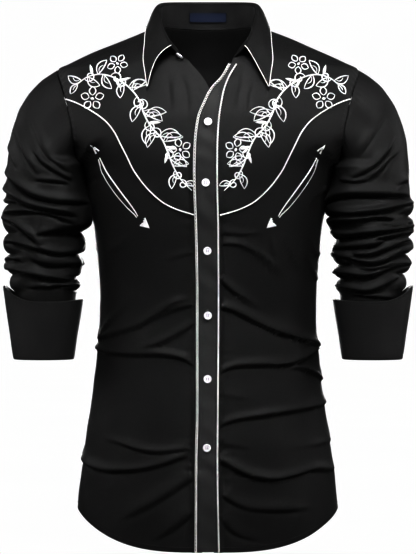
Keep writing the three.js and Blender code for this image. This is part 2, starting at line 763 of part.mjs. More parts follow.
function yokeCord(side) {
  const points = [];
  const first = frontAngle(YOKE_CORD.fromX[side], YOKE_CENTRE) / DEG;
  for (let i = 0; i <= 2 * FRONT_COLUMNS; i += 1) {
    const angle = lerp(first, YOKE_CORD.toAngle, i / (2 * FRONT_COLUMNS));
    const z = yokeSeamHeight(angle);
    const turn = mirrors[side] * angle * DEG;
    points.push(torsoPoint(turn, z).addScaledVector(torsoNormal(turn, z), LAY + CORD_RADIUS));
  }
  return cord(`yoke_cord_${side}`, points, 2 * FRONT_COLUMNS);
}

// Curved "smile" pocket: two thin pipings bound a narrow welt, with an arrowhead at each end.
const pocketLine = table(['z', 'x', 'gap'], [
  [-186, 151.8, 0],
  [-206, 143.5, 5.5],
  [-231, 127.5, 8],
  [-252, 111, 6],
  [-268.5, 97, 0],
]);
const WELT = 1;               // thickness of the welt and the arrowheads
// The pipings lie square to the pocket's slope, given by its direction across.
const POCKET = {
  rows: 10,
  lay: 1.1,
  piping: 0.9,
  acrossX: 0.62,
  acrossZ: 0.78,
  weltInset: 12,
  weltLeast: 0.4,
};
const ARROWS = {
  top: { tip: [160.5, -171], tail: [152.5, -184.5], width: 9 },
  bottom: { tip: [81, -284], tail: [95.5, -270], width: 11 },
};

// One edge of the pocket: `halfAt` gives its distance from the middle line, square to the slope.
function pocketEdge(mirror, way, inset, lift, halfAt) {
  const points = [];
  for (let r = 0; r <= POCKET.rows; r += 1) {
    const z = lerp(pocketLine[4].z + inset, pocketLine[0].z - inset, r / POCKET.rows);
    const half = way * halfAt(read(pocketLine, 'z', 'gap', z));
    const x = read(pocketLine, 'z', 'x', z) - half * POCKET.acrossX;
    points.push(onFront(mirror * x, z + half * POCKET.acrossZ, lift));
  }
  return points;
}

function pocketPieces(side) {
  const mirror = mirrors[side];
  const { rows, lay, piping, weltInset, weltLeast } = POCKET;
  const beside = (gap) => gap / 2 + piping + SEAM;
  const within = (gap) => Math.max(gap / 2 - SEAM, weltLeast);
  const upper = pocketEdge(mirror, 1, 0, lay + piping, beside);
  const lower = pocketEdge(mirror, -1, 0, lay + piping, beside);
  const top = pocketEdge(mirror, 1, weltInset, lay + WELT, within);
  const bottom = pocketEdge(mirror, -1, weltInset, lay + WELT, within);
  const grid = top.map((p, r) => [p, bottom[r]]);
  const normals = outwardNormals(grid, (n) => -n[5][0].y);
  return [
    cord(`pocket_piping_upper_${side}`, upper, rows, piping),
    cord(`pocket_piping_lower_${side}`, lower, rows, piping),
    wall(`pocket_welt_${side}`, grid, normals, BLACK_CLOTH, { thickness: WELT }),
    arrowhead(`pocket_arrow_top_${side}`, mirror, ARROWS.top),
    arrowhead(`pocket_arrow_bottom_${side}`, mirror, ARROWS.bottom),
  ];
}

// Flat stitched arrowhead: tip, notch and two barbs, laid on the front.
const ARROW_NOTCH = { barb: -0.05, notch: 0.28 };

function arrowhead(name, mirror, { tip, tail, width }) {
  const { barb, notch } = ARROW_NOTCH;
  const along = new THREE.Vector2(tip[0] - tail[0], tip[1] - tail[1]);
  const across = new THREE.Vector2(-along.y, along.x).setLength(width / 2);
  const place = (share, side) => [
    tail[0] + along.x * share + across.x * side,
    tail[1] + along.y * share + across.y * side,
  ];
  const outline = [place(1, 0), place(barb, 1), place(notch, 0), place(barb, -1)];
  const positions = [];
  for (const lift of [POCKET.lay + WELT, POCKET.lay]) {
    for (const [x, z] of outline) positions.push(onFront(mirror * x, z, lift).toArray());
  }
  const triangles = [[0, 1, 2], [0, 2, 3], [4, 6, 5], [4, 7, 6]];
  for (let i = 0; i < 4; i += 1) {
    const j = (i + 1) % 4;
    triangles.push([i, 4 + i, 4 + j], [i, 4 + j, j]);
  }
  return solid(name, positions, triangles, WHITE_CORD);
}

// Four-hole shirt button: a shallow dished disc.
const BUTTON = { radius: 6, thickness: 2.6, edge: 0.6, rim: 1.4, dish: 0.6, sides: 12 };
const buttonHeights = [-140, -223, -316, -405, -492, -586];

function buttonAt(name, place, facing, radius = BUTTON.radius) {
  const { thickness, edge, rim, dish } = BUTTON;
  const profile = [
    [0, 0],
    [radius - edge, 0],
    [radius, edge],
    [radius, thickness - edge],
    [radius - edge, thickness],
    [radius - rim, thickness],
    [radius - rim - edge, thickness - dish],
    [0, thickness - dish],
  ];
  const rings = profile.map(([r, h]) => new THREE.Vector2(r, h));
  const geometry = new THREE.LatheGeometry(rings, BUTTON.sides);
  const mesh = new THREE.Mesh(geometry, new THREE.MeshStandardMaterial(PEARL));
  mesh.name = name;
  mesh.position.copy(place);
  mesh.quaternion.setFromUnitVectors(new THREE.Vector3(0, 1, 0), facing);
  return mesh;
}

function placketButton(z, index) {
  const angle = frontAngle(placketX(z, 0.5), z);
  const facing = torsoNormal(angle, z);
  const place = torsoPoint(angle, z).addScaledVector(facing, LAY + WALL + LAY);
  return buttonAt(`button_${index + 1}`, place, facing);
}

// Pipings just outside the leaf's edges: one round the back from point to point, one on each front edge.
function collarPipings(leaf) {
  const last = leaf.length - 1;
  const beyond = (edge, inside) => edge.map((p, i) => {
    const tangent = edge[Math.min(i + 1, edge.length - 1)].clone().sub(edge[Math.max(i - 1, 0)]).normalize();
    const away = p.clone().sub(inside[i]);
    return away.addScaledVector(tangent, -away.dot(tangent)).setLength(COLLAR_CORD + LAY).add(p);
  });
  const column = (c) => leaf.slice(2).map((row) => row[c]);
  const ends = leaf[0].length - 1;
  return [
    cord('collar_piping_outer', beyond(leaf[last], leaf[last - 1]), COLLAR_CORD_STEPS, COLLAR_CORD),
    cord('collar_piping_right', beyond(column(0), column(1)), LEAF_ROWS, COLLAR_CORD),
    cord('collar_piping_left', beyond(column(ends), column(ends - 1)), LEAF_ROWS, COLLAR_CORD),
  ];
}

// Bare woven label on the neck side of the stand at the centre back.
const LABEL = { columns: [-1.12, -1, 0, 1, 1.12], low: 0.3, high: 0.68, thickness: 1 };

function neckLabel(stand, normals) {
  const along = (row, c) => {
    const i = Math.floor(c);
    return row[i].clone().lerp(row[i + 1], c - i);
  };
  const grid = [LABEL.low, LABEL.high].map((share) => LABEL.columns.map((offset) => {
    const c = NECK_COLUMNS + offset;
    const place = along(stand[0], c).lerp(along(stand[STAND_ROWS], c), share);
    return place.addScaledVector(along(normals[1], c), LABEL.thickness + LAY);
  }));
  const look = outwardNormals(grid, (n) => -n[0][2].y);
  return wall('neck_label', grid, look, NAVY_LABEL, { thickness: LABEL.thickness });
}

// Button on the outer side of the stand at its right front end.
const COLLAR_BUTTON = { radius: 5.2, up: 0.74 };

function collarButton(stand, normals) {
  const place = stand[0][0].clone().lerp(stand[STAND_ROWS][0], COLLAR_BUTTON.up);
  const facing = normals[1][0].clone().negate();
  place.addScaledVector(facing, WALL + 2 * LAY);
  return buttonAt('collar_button', place, facing, COLLAR_BUTTON.radius);
}

// ---- The shirt -----------------------------------------------------------------------------------
const shirt = new THREE.Group();
const columns = collarColumns();
const stand = standGrid(columns);
const leaf = leafGrid(columns, stand);

shirt.add(backPanel(), backYoke());
for (const side of ['left', 'right']) {
  shirt.add(frontPanel(side), frontYoke(side), sleeve(side), cuff(side));
  shirt.add(yokeCord(side), ...pocketPieces(side));
}
const standNormals = neckwardNormals(stand);
shirt.add(wall('collar_stand', stand, standNormals, BLACK_CLOTH), collarLeaf(leaf, stand), placket());
shirt.add(...collarPipings(leaf), neckLabel(stand, standNormals), collarButton(stand, standNormals));
shirt.add(placketCord('left'), placketCord('right'));
shirt.add(...buttonHeights.map(placketButton));

export default shirt;
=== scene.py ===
import math

import bmesh
import bpy
import mathutils
import numpy as np
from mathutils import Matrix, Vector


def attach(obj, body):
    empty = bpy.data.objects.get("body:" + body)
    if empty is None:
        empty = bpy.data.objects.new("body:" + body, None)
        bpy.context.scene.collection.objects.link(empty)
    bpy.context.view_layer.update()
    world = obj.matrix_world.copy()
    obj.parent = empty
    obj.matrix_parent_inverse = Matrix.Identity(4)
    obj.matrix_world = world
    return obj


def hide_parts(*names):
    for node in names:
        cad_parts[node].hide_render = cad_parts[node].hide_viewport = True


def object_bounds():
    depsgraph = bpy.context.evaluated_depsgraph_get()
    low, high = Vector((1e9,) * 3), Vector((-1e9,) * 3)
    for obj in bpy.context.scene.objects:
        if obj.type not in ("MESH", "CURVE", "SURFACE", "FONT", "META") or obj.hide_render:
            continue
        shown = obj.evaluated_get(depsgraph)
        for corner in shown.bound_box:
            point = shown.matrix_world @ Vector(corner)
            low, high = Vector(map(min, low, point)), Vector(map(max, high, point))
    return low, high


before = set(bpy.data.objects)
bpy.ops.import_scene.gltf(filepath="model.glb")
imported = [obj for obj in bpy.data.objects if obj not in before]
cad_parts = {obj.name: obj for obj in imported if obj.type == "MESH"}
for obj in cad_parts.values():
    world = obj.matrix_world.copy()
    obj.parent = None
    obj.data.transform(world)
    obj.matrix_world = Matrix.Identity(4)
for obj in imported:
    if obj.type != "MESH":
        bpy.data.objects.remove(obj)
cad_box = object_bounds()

# ---- Back ---------------------------------------------------------------------------------------
# The back is one broad panel of black cotton satin between the side seams, from the pointed yoke
# seam to the curved shirt-tail hem. It hangs on the wearer's form and creases at the waist.
MM = 0.001
WALL = 1.4
LAY = 0.7
SIDE_HEM = -677
BACK_HEM = -737
ARMPIT = -200


def table(names, rows):
    """Rows of numbers as named columns."""
    return {name: np.array([row[i] for row in rows], float) for i, name in enumerate(names.split())}


def read(rows, key, column, at):
    """One column, read smoothly and without overshoot at values of the key column."""
    x = rows[key]
    y = rows[column]
    if x[-1] < x[0]:
        x = x[::-1]
        y = y[::-1]
    at = np.clip(at, x[0], x[-1])
    i = np.clip(np.searchsorted(x, at) - 1, 0, len(x) - 2)
    rise = np.diff(y) / np.diff(x)
    slope = np.concatenate([rise[:1], np.zeros(len(x) - 2), rise[-1:]])
    steady = rise[:-1] * rise[1:] > 0
    both = rise[:-1] + rise[1:]
    slope[1:-1][steady] = (2 * rise[:-1] * rise[1:])[steady] / both[steady]
    width = x[i + 1] - x[i]
    t = (at - x[i]) / width
    ends = y[i] * (1 + 2 * t) * (1 - t) ** 2 + y[i + 1] * t * t * (3 - 2 * t)
    return ends + width * t * (1 - t) * (slope[i] * (1 - t) - slope[i + 1] * t)


def lerp(a, b, t):
    return a + (b - a) * t


def smooth(t):
    t = np.clip(t, 0, 1)
    return t * t * (3 - 2 * t)


def unit(v):
    return v / np.maximum(np.linalg.norm(v, axis=-1, keepdims=True), 1e-9)


# Level sections of the worn body: half width, depth to the front and the back, and squareness.
sections = table("z half front back square", [
    (6, 68, 20, 62, 2),
    (2, 77, 28, 66, 2),
    (-7, 99, 41, 76, 2),
    (-20, 130, 53.5, 88, 2),
    (-35, 165, 66, 98, 2),
    (-50, 197, 77, 106, 2),
    (-58, 212, 81, 109, 2),
    (-75, 218, 89, 114, 2),
    (-102, 221, 100, 120, 2),
    (-130, 230, 110, 124, 2.1),
    (-155, 223, 116, 126, 2.2),
    (-180, 200, 120, 126, 2.3),
    (-200, 182, 121, 125, 2.35),
    (-247, 169, 120, 120, 2.35),
    (-282, 162, 117, 114, 2.35),
    (-318, 157.5, 113, 108, 2.35),
    (-366, 153.5, 109, 102, 2.3),
    (-405, 153, 107, 100, 2.3),
    (-461, 157, 109, 103, 2.3),
    (-508, 162, 112, 108, 2.3),
    (-588, 174, 116, 117, 2.3),
    (-669, 184, 119, 122, 2.3),
    (-740, 188, 120, 124, 2.3),
])


def body_form(angle, z):
    """Point of the body form; the angle turns from the front (0) past the wearer's left."""
    half, front, back, square = (read(sections, "z", c, z) for c in ("half", "front", "back", "square"))
    s = np.sin(angle)
    c = np.cos(angle)
    depth = np.where(c >= 0, front, back)
    radius = ((np.abs(s) / half) ** square + (np.abs(c) / depth) ** square) ** (-1 / square)
    return np.stack([radius * s, -radius * c, z + 0 * angle], axis=-1)


def body_normal(angle, z):
    around = body_form(angle + 0.01, z) - body_form(angle - 0.01, z)
    upward = body_form(angle, z + 1) - body_form(angle, z - 1)
    return unit(np.cross(around, upward))


def front_angle(x, z):
    """Angle of the front of the body form at a place seen from the front."""
    half, front, square = (read(sections, "z", c, z) for c in ("half", "front", "square"))
    share = np.minimum(np.abs(x) / half, 1)
    return np.arctan2(x, front * (1 - share ** square) ** (1 / square))


def back_angle(x, z):
    half, back, square = (read(sections, "z", c, z) for c in ("half", "back", "square"))
    share = np.minimum(np.abs(x) / half, 1)
    return np.arctan2(x, -back * (1 - share ** square) ** (1 / square))


def smooth_path(points, step=3.0):
    """A smooth line through points, with a point about every step along it."""
    p = np.array(points, float)
    ends = np.concatenate([2 * p[:1] - p[1:2], p, 2 * p[-1:] - p[-2:-1]])
    parts = []
    for i in range(len(p) - 1):
        a, b, c, d = ends[i:i + 4]
        n = max(2, int(np.max(np.linalg.norm(c - b, axis=-1)) / step))
        t = np.linspace(0, 1, n, endpoint=False).reshape((-1,) + (1,) * (p.ndim - 1))
        cubic = 3 * b - a - 3 * c + d
        parts.append(0.5 * (2 * b + (c - a) * t + (2 * a - 5 * b + 4 * c - d) * t ** 2 + cubic * t ** 3))
    return np.concatenate(parts + [p[-1:]])


FOLD_WAVER = 0.16
TROUGH = {"away": 1.35, "wide": 0.5}


# A fold is a ridge along a line, fading above it over `above` and falling off sharply under it over
# `below` into a trough. It fades in and out over the shares `start` and `end` of its length.
def make_fold(line, normals, height, above, below, start, end, dip=0.55):
    tangent = unit(np.gradient(line, axis=0))
    up = unit(np.cross(normals, tangent))
    up *= -1 if up[:, 2].mean() < 0 else 1
    return dict(line=line, up=up, height=height, above=above, below=below, start=start, end=end, dip=dip)


def fold_lift(points, folds):
    """How far folds lift points of a cloth, the highest ridge and the deepest trough winning."""
    ridge = np.zeros(len(points))
    trough = np.zeros(len(points))
    for number, fold in enumerate(folds):
        reach = 3 * max(fold["above"], fold["below"])
        line = fold["line"]
        inside = np.all((points > line.min(0) - reach) & (points < line.max(0) + reach), axis=1)
        near = np.nonzero(inside)[0]
        if len(near) == 0:
            continue
        a = line[:-1]
        ab = np.diff(line, axis=0)
        from_a = points[near][:, None] - a
        t = np.clip((from_a * ab).sum(-1) / (ab * ab).sum(-1), 0, 1)
        away = from_a - t[..., None] * ab
        far = (away ** 2).sum(-1)
        k = far.argmin(axis=1)
        row = np.arange(len(near))
        side = np.where((away[row, k] * fold["up"][k]).sum(-1) >= 0, 1, -1)
        d = np.sqrt(far[row, k]) * side
        share = (k + t[row, k]) / len(a)
        size = fold["height"] * (1 + FOLD_WAVER * np.sin(7 * share + 2.3 * number))
        size = size * smooth(share / max(fold["start"], 0.01)) * smooth((1 - share) / max(fold["end"], 0.01))
        over = np.exp(-(np.maximum(d, 0) / fold["above"]) ** 2 - (np.maximum(-d, 0) / fold["below"]) ** 3)
        ridge[near] = np.maximum(ridge[near], size * over)
        middle, wide = TROUGH["away"] * fold["below"], TROUGH["wide"] * fold["below"]
        under = np.exp(-np.abs(d + middle) / wide)
        trough[near] = np.minimum(trough[near], -fold["dip"] * size * under)
    return ridge + trough


def ripple(points, seed, size, length):
    """Slow unevenness of hanging cloth: a few crossing waves of about the given length."""
    draw = np.random.default_rng(seed)
    total = np.zeros(points.shape[:-1])
    for _ in range(7):
        way = unit(draw.normal(size=3) * [1, 1, 1.6])
        turn = points @ way * 2 * np.pi / (length * draw.uniform(0.7, 1.6))
        total += np.sin(turn + draw.uniform(0, 6.28))
    return size * total / 7


# Folds of the front, seen from the front, and of the back, seen through it: the dark line under each
# ridge in x and z, the ridge's height and widths, and the shares over which it fades.
FRONT_FOLDS = [
    # height, above, below, start, end, line
    (2.2, 9, 4.5, 0.4, 0.4, [(-144, -323), (-123, -312), (-102, -294)]),
    (1.4, 9, 5, 0.5, 0.1, [(-66, -335), (-45, -327), (-20, -320)]),
    (3.0, 9, 4.5, 0.2, 0.5, [(-150, -436), (-144, -425), (-125, -405), (-98, -379)]),
    (3.6, 9, 4.5, 0.1, 0.15, [
        (-153, -440), (-136, -434), (-96, -421), (-70, -405), (-46, -390), (-18, -384),
    ]),
    (2.4, 8, 4, 0.5, 0.1, [(-90, -420), (-50, -400), (-18, -391)]),
    (3.2, 9, 4, 0.4, 0.1, [(-108, -457), (-66, -445), (-32, -426), (-17, -415)]),
    (4.2, 10, 4.5, 0.05, 0.1, [
        (-157, -455), (-138, -459), (-104, -461), (-65, -461), (-35, -466), (-18, -477),
    ]),
    (3.0, 10, 4.5, 0.4, 0.1, [(-152, -577), (-123, -583), (-96, -591), (-66, -594), (-20, -588)]),
    (3.8, 12, 4.5, 0.1, 0.1, [
        (-176, -611), (-160, -619), (-136, -622), (-96, -619), (-60, -610), (-20, -594),
    ]),
    (2.6, 18, 10, 0.4, 0.1, [(-126, -691), (-80, -668), (-20, -628)]),
    (2.0, 20, 12, 0.5, 0.2, [(-90, -722), (-50, -700), (-18, -672)]),
    (4.6, 11, 4.5, 0.05, 0.35, [(-180, -202), (-172, -186), (-160, -172), (-143, -162), (-124, -158)]),
    (1.6, 10, 6, 0.3, 0.5, [(-178, -226), (-150, -212), (-128, -208)]),
    (1.6, 9, 5, 0.1, 0.5, [(17, -294), (48, -296), (81, -294)]),
    (3.0, 9, 4.5, 0.1, 0.45, [(17, -309), (41, -310), (66, -321), (90, -341), (113, -358)]),
    (1.6, 7, 4, 0.4, 0.4, [(84, -296), (94, -332)]),
    (2.2, 7, 4, 0.4, 0.2, [(102, -295), (117, -326), (136, -356)]),
    (2.0, 7, 4, 0.4, 0.2, [(122, -298), (134, -322), (150, -356)]),
    (1.8, 7, 4, 0.4, 0.2, [(135, -292), (150, -322)]),
    (3.0, 10, 4.5, 0.05, 0.4, [(15, -355), (32, -371), (50, -384), (76, -401)]),
    (5.2, 12, 4.2, 0.05, 0.05, [(15, -394), (35, -400), (56, -411), (87, -426), (117, -437), (154, -450)]),
    (4.6, 12, 4.2, 0.05, 0.05, [(15, -486), (35, -477), (72, -475), (108, -475), (133, -467), (155, -452)]),
    (3.8, 8, 4, 0.3, 0.05, [(100, -476), (125, -480), (145, -487), (160, -498)]),
    (1.8, 9, 4.5, 0.05, 0.6, [(15, -514), (40, -519), (62, -522)]),
    (4.2, 11, 4.5, 0.05, 0.1, [(15, -558), (38, -550), (72, -545), (117, -539), (166, -531)]),
    (1.8, 9, 4.5, 0.05, 0.6, [(15, -580), (40, -586), (62, -590)]),
    (1.5, 9, 4.5, 0.4, 0.3, [(102, -590), (140, -588), (172, -584)]),
    (5.2, 13, 4.6, 0.05, 0.15, [
        (12, -601), (29, -612), (56, -626), (87, -632), (117, -628), (148, -621), (168, -624),
    ]),
    (2.6, 16, 8, 0.1, 0.4, [(16, -650), (47, -669), (87, -675), (150, -675)]),
    (1.8, 18, 10, 0.1, 0.5, [(15, -680), (40, -706), (80, -716)]),
    (4.4, 11, 4.5, 0.05, 0.35, [(180, -203), (172, -188), (158, -176), (138, -170)]),
    (2.0, 10, 6, 0.2, 0.5, [(178, -228), (152, -240), (132, -262)]),
    (0.8, 12, 11, 0.4, 0.5, [(-42, -64), (-46, -95), (-41, -140)]),
    (0.7, 10, 9, 0.4, 0.5, [(-31, -70), (-23, -105), (-20, -150)]),
    (0.8, 12, 11, 0.4, 0.5, [(41, -62), (39, -95), (29, -138)]),
    (0.7, 10, 9, 0.4, 0.5, [(60, -80), (52, -112), (49, -150)]),
]
BACK_FOLDS = [
    (4.4, 12, 4.5, 0.05, 0.3, [(-153, -440), (-110, -452), (-60, -448), (10, -432)]),
    (4.6, 12, 4.5, 0.05, 0.3, [(157, -452), (110, -456), (50, -470), (-36, -474)]),
    (3.8, 11, 4.5, 0.2, 0.4, [(-150, -398), (-90, -394), (-20, -386), (60, -388)]),
    (3.4, 10, 4.5, 0.1, 0.4, [(154, -348), (100, -356), (40, -352), (-44, -346)]),
    (3.0, 10, 4.5, 0.1, 0.4, [(-157, -318), (-120, -330), (-70, -326), (-30, -314)]),
    (2.8, 10, 4.5, 0.3, 0.4, [(90, -420), (40, -412), (-20, -418)]),
    (2.6, 10, 4.5, 0.3, 0.4, [(-92, -492), (-40, -500), (24, -496)]),
    (4.0, 12, 4.5, 0.05, 0.4, [(160, -498), (120, -506), (70, -520), (10, -524)]),
    (4.2, 13, 5, 0.05, 0.4, [(-176, -611), (-130, -622), (-60, -618), (30, -602)]),
    (3.8, 13, 5, 0.1, 0.4, [(172, -585), (120, -600), (60, -612), (0, -640)]),
    (2.6, 18, 10, 0.3, 0.4, [(-120, -690), (-60, -676), (10, -664)]),
    (2.2, 18, 10, 0.3, 0.4, [(130, -668), (70, -684), (20, -700)]),
    (4.2, 11, 5, 0.05, 0.4, [(180, -203), (160, -188), (128, -176), (96, -172)]),
    (4.2, 11, 5, 0.05, 0.4, [(-180, -202), (-158, -186), (-124, -178), (-92, -176)]),
    (2.8, 12, 7, 0.3, 0.5, [(120, -222), (70, -238), (20, -236)]),
    (2.8, 12, 7, 0.3, 0.5, [(-126, -226), (-80, -246), (-26, -250)]),
    (2.4, 14, 8, 0.3, 0.5, [(-60, -284), (0, -292), (70, -280)]),
]
CREST_ABOVE_LINE = 5.0
USUAL_BELOW = 4.5
# The front's folds are pressed sharper than the back's: by these shares of their widths.
FRONT_PRESS = {"above": 0.66, "below": 0.46, "least": 2.1}
# A fold that comes this near the side seam runs on round the side, turns this far and fades there.
SIDE_SHARE = 0.93
SIDE_TURN = (0.12, 0.3)
SIDE_FADE = 0.22
SEEN_SHARE = 0.995


def body_folds():
    folds = []
    for angle_at, rows in ((front_angle, FRONT_FOLDS), (back_angle, BACK_FOLDS)):
        for height, above, below, start, end, line in rows:
            if angle_at is front_angle:
                above = above * FRONT_PRESS["above"]
                below = max(below * FRONT_PRESS["below"], FRONT_PRESS["least"])
            x, z = np.array(line, float).T
            z = z + CREST_ABOVE_LINE * below / USUAL_BELOW
            half = read(sections, "z", "half", z)
            angle = np.unwrap(angle_at(np.clip(x, -SEEN_SHARE * half, SEEN_SHARE * half), z))
            for at_end in (0, -1):
                if abs(x[at_end]) > SIDE_SHARE * half[at_end]:
                    way = np.sign(np.sin(angle[at_end])) * (1 if angle_at is front_angle else -1)
                    more = angle[at_end] + way * np.array(SIDE_TURN)
                    level = np.full(2, z[at_end])
                    if at_end == 0:
                        angle = np.concatenate([more[::-1], angle])
                        z = np.concatenate([level, z])
                        start = max(start, SIDE_FADE)
                    else:
                        angle = np.concatenate([angle, more])
                        z = np.concatenate([z, level])
                        end = max(end, SIDE_FADE)
            places = smooth_path(np.stack([angle * 100, z], axis=-1), 4.0)
            angle = places[:, 0] / 100
            z = places[:, 1]
            folds.append(make_fold(
                body_form(angle, z), body_normal(angle, z), height, above, below, start, end,
            ))
    return folds


FOLDS_OF_BODY = body_folds()
placket_edges = table("z low high", [
    (-728, -16.5, 14.5),
    (-606, -16, 12.5),
    (-538, -14.5, 13),
    (-384, -14.5, 14),
    (-290, -16, 13.5),
    (-209, -18.5, 12),
    (-170, -17.5, 12.5),
    (-136, -13.5, 14.5),
    (-112, -4.5, 18),
    (-95, 4, 21.5),
    (-76, 20, 28.5),
    (-58, 30, 39),
])


# The stiff placket calms the cloth beneath it, which sinks past its cord and is puckered there.
PLACKET_HALF = 7
PLACKET_REACH = 12
PLACKET_CALM = 0.12
PLACKET_GROOVE = {"deep": 2.2, "wide": 4, "fade": 14, "from": -150, "grows": 120}
PLACKET_PUCKER = {"height": 0.9, "near": 3, "fade": 9}
# Seed, size and wave length of each unevenness of the body's cloth.
BODY_RIPPLES = ((5, 1.5, 95), (6, 0.5, 34))


def placket_x(z, share):
    return lerp(read(placket_edges, "z", "low", z), read(placket_edges, "z", "high", z), share)


def body_cloth(angle, z, lift=0.0):
    """Points of the folded cloth on the body, moved out by lift."""
    angle, z, lift = np.broadcast_arrays(angle, z, lift)
    form = body_form(angle, z)
    normal = body_normal(angle, z)
    flat = form.reshape(-1, 3)
    height = fold_lift(flat, FOLDS_OF_BODY)
    for waves in BODY_RIPPLES:
        height = height + ripple(flat, *waves)
    height = height.reshape(angle.shape)
    beside = np.abs(form[..., 0] - placket_x(z, 0.5)) - PLACKET_HALF
    on_front = np.cos(angle) > 0
    calm = np.where(on_front, lerp(PLACKET_CALM, 1, smooth(beside / PLACKET_REACH)), 1)
    past = beside - PLACKET_REACH
    wide, fade = PLACKET_GROOVE["wide"], PLACKET_GROOVE["fade"]
    groove = np.where(on_front, smooth(past / wide) * np.exp(-np.maximum(past - wide, 0) / fade), 0)
    groove = groove * smooth((PLACKET_GROOVE["from"] - z) / PLACKET_GROOVE["grows"])
    # The puckers are short and come in uneven groups.
    wave = np.sin(z / 2.1 + 2.2 * np.sin(z / 19) + 1.3 * np.sign(form[..., 0]))
    groups = np.maximum(np.sin(z / 26 + 0.9 * np.sin(z / 41)), 0)
    near, fade = PLACKET_PUCKER["near"], PLACKET_PUCKER["fade"]
    pucker = np.where(on_front, smooth(past / near) * np.exp(-np.maximum(past, 0) / fade), 0)
    height = height * calm - PLACKET_GROOVE["deep"] * groove
    height = height + PLACKET_PUCKER["height"] * pucker * wave * groups
    height = height + armhole_pull(flat).reshape(angle.shape)
    return form + normal * (height + lift)[..., None]


# Armhole seam from the shoulder tip to the armpit: turn from the front, and from the back.
armhole = table("step z front back", [
    (0, -58, 90, 90),
    (1, -72, 84.5, 84),
    (2, -87, 81, 80.5),
    (3, -102, 78.5, 77.5),
    (4, -118, 74.5, 73.5),
    (5, -135, 71.5, 70),
    (6, -152, 70.5, 69),
    (7, -169, 71.5, 70),
    (8, -185, 76, 74.5),
    (9, -196, 83, 82),
    (10, ARMPIT, 90, 90),
])
YOKE_STEP = 3
LAST_STEP = 10
SEAM_SINK = {"deep": 1.3, "wide": 2.4}
SEAM_PUCKER = {"height": 0.7, "length": 8.5, "near": 3, "reach": 8}
SEAM_REACH = 25


def seam_pucker(along, away):
    """Small gathers square to a seam, by the distance along it and away from it."""
    wave = np.sin(2 * np.pi * along / SEAM_PUCKER["length"] + 1.9 * np.sin(along / 23))
    return SEAM_PUCKER["height"] * wave * np.exp(-away / SEAM_PUCKER["reach"])


def armhole_pull(points):
    """The line of the armhole seam sunk into the cloth, and the gathers beside it."""
    lift = np.zeros(len(points))
    step = np.linspace(0, LAST_STEP, 70)
    for face, middle in (("front", 0), ("back", 180)):
        turn = np.radians(np.abs(middle - read(armhole, "step", face, step)))
        line = body_form(turn, read(armhole, "step", "z", step))
        along = np.concatenate([[0], np.cumsum(np.linalg.norm(np.diff(line, axis=0), axis=1))])
        for way in (1, -1):
            seam = line * [way, 1, 1]
            low, high = seam.min(0) - SEAM_REACH, seam.max(0) + SEAM_REACH
            near = np.nonzero(np.all((points > low) & (points < high), axis=1))[0]
            if len(near) == 0:
                continue
            from_a = points[near][:, None] - seam[:-1]
            ab = np.diff(seam, axis=0)
            t = np.clip((from_a * ab).sum(-1) / (ab * ab).sum(-1), 0, 1)
            far = np.linalg.norm(from_a - t[..., None] * ab, axis=-1)
            k = far.argmin(axis=1)
            row = np.arange(len(near))
            away = far[row, k]
            place = lerp(along[k], along[k + 1], t[row, k])
            sunk = -SEAM_SINK["deep"] * np.exp(-(away / SEAM_SINK["wide"]) ** 2)
            lift[near] += sunk + seam_pucker(place, away) * smooth(away / SEAM_PUCKER["near"])
    return lift


BODY_ROWS = 12
PANEL_ROWS = BODY_ROWS + LAST_STEP - YOKE_STEP
ROW_CROWDING = 1.15
back_yoke_seam = table("turn z", [
    (0, -196),
    (14, -178),
    (32, -152),
    (52, -130),
    (68, -112),
    (77.5, -102),
])
TAIL_SECTION = -700
HEM_SQUARENESS = 3.4


def outer_edge(row, face):
    """Turn and height of a panel's outer edge: up the side seam, then up the armhole."""
    up_side = lerp(SIDE_HEM, ARMPIT, 1 - (1 - np.minimum(row / BODY_ROWS, 1)) ** ROW_CROWDING)
    step = LAST_STEP - np.maximum(row - BODY_ROWS, 0)
    on_side = row <= BODY_ROWS
    turn = np.where(on_side, 90, read(armhole, "step", face, step))
    return turn, np.where(on_side, up_side, read(armhole, "step", "z", step))


def tail_height(turn, lowest):
    half = read(sections, "z", "half", TAIL_SECTION)
    share = np.abs(body_form(np.radians(turn), TAIL_SECTION + 0 * turn)[..., 0]) / half
    return lerp(lowest, SIDE_HEM, share ** HEM_SQUARENESS)


def back_yoke_height(turn):
    return read(back_yoke_seam, "turn", "z", np.abs(turn))


def bow(curve, start, end, t):
    """How far a curve lies from the straight line between its own two ends."""
    return curve(lerp(start, end, t)) - lerp(curve(start), curve(end), t)


def grid_of(rows, columns):
    t, u = np.meshgrid(np.linspace(0, 1, rows + 1), np.linspace(0, 1, columns + 1), indexing="ij")
    return t, u


def grid_normals(grid, closed=False):
    if closed:
        along = np.roll(grid, -1, axis=1) - np.roll(grid, 1, axis=1)
    else:
        along = np.gradient(grid, axis=1)
    return unit(np.cross(along, np.gradient(grid, axis=0)))


def new_object(name, data):
    made = bpy.data.objects.new(name, data)
    bpy.context.scene.collection.objects.link(made)
    return made


def lay_uv(mesh, name, places):
    """A UV map from a flat place, in metres, for each point of the mesh."""
    corner = np.empty(len(mesh.loops), int)
    mesh.loops.foreach_get("vertex_index", corner)
    mesh.uv_layers.new(name=name).data.foreach_set("uv", places[corner].ravel())


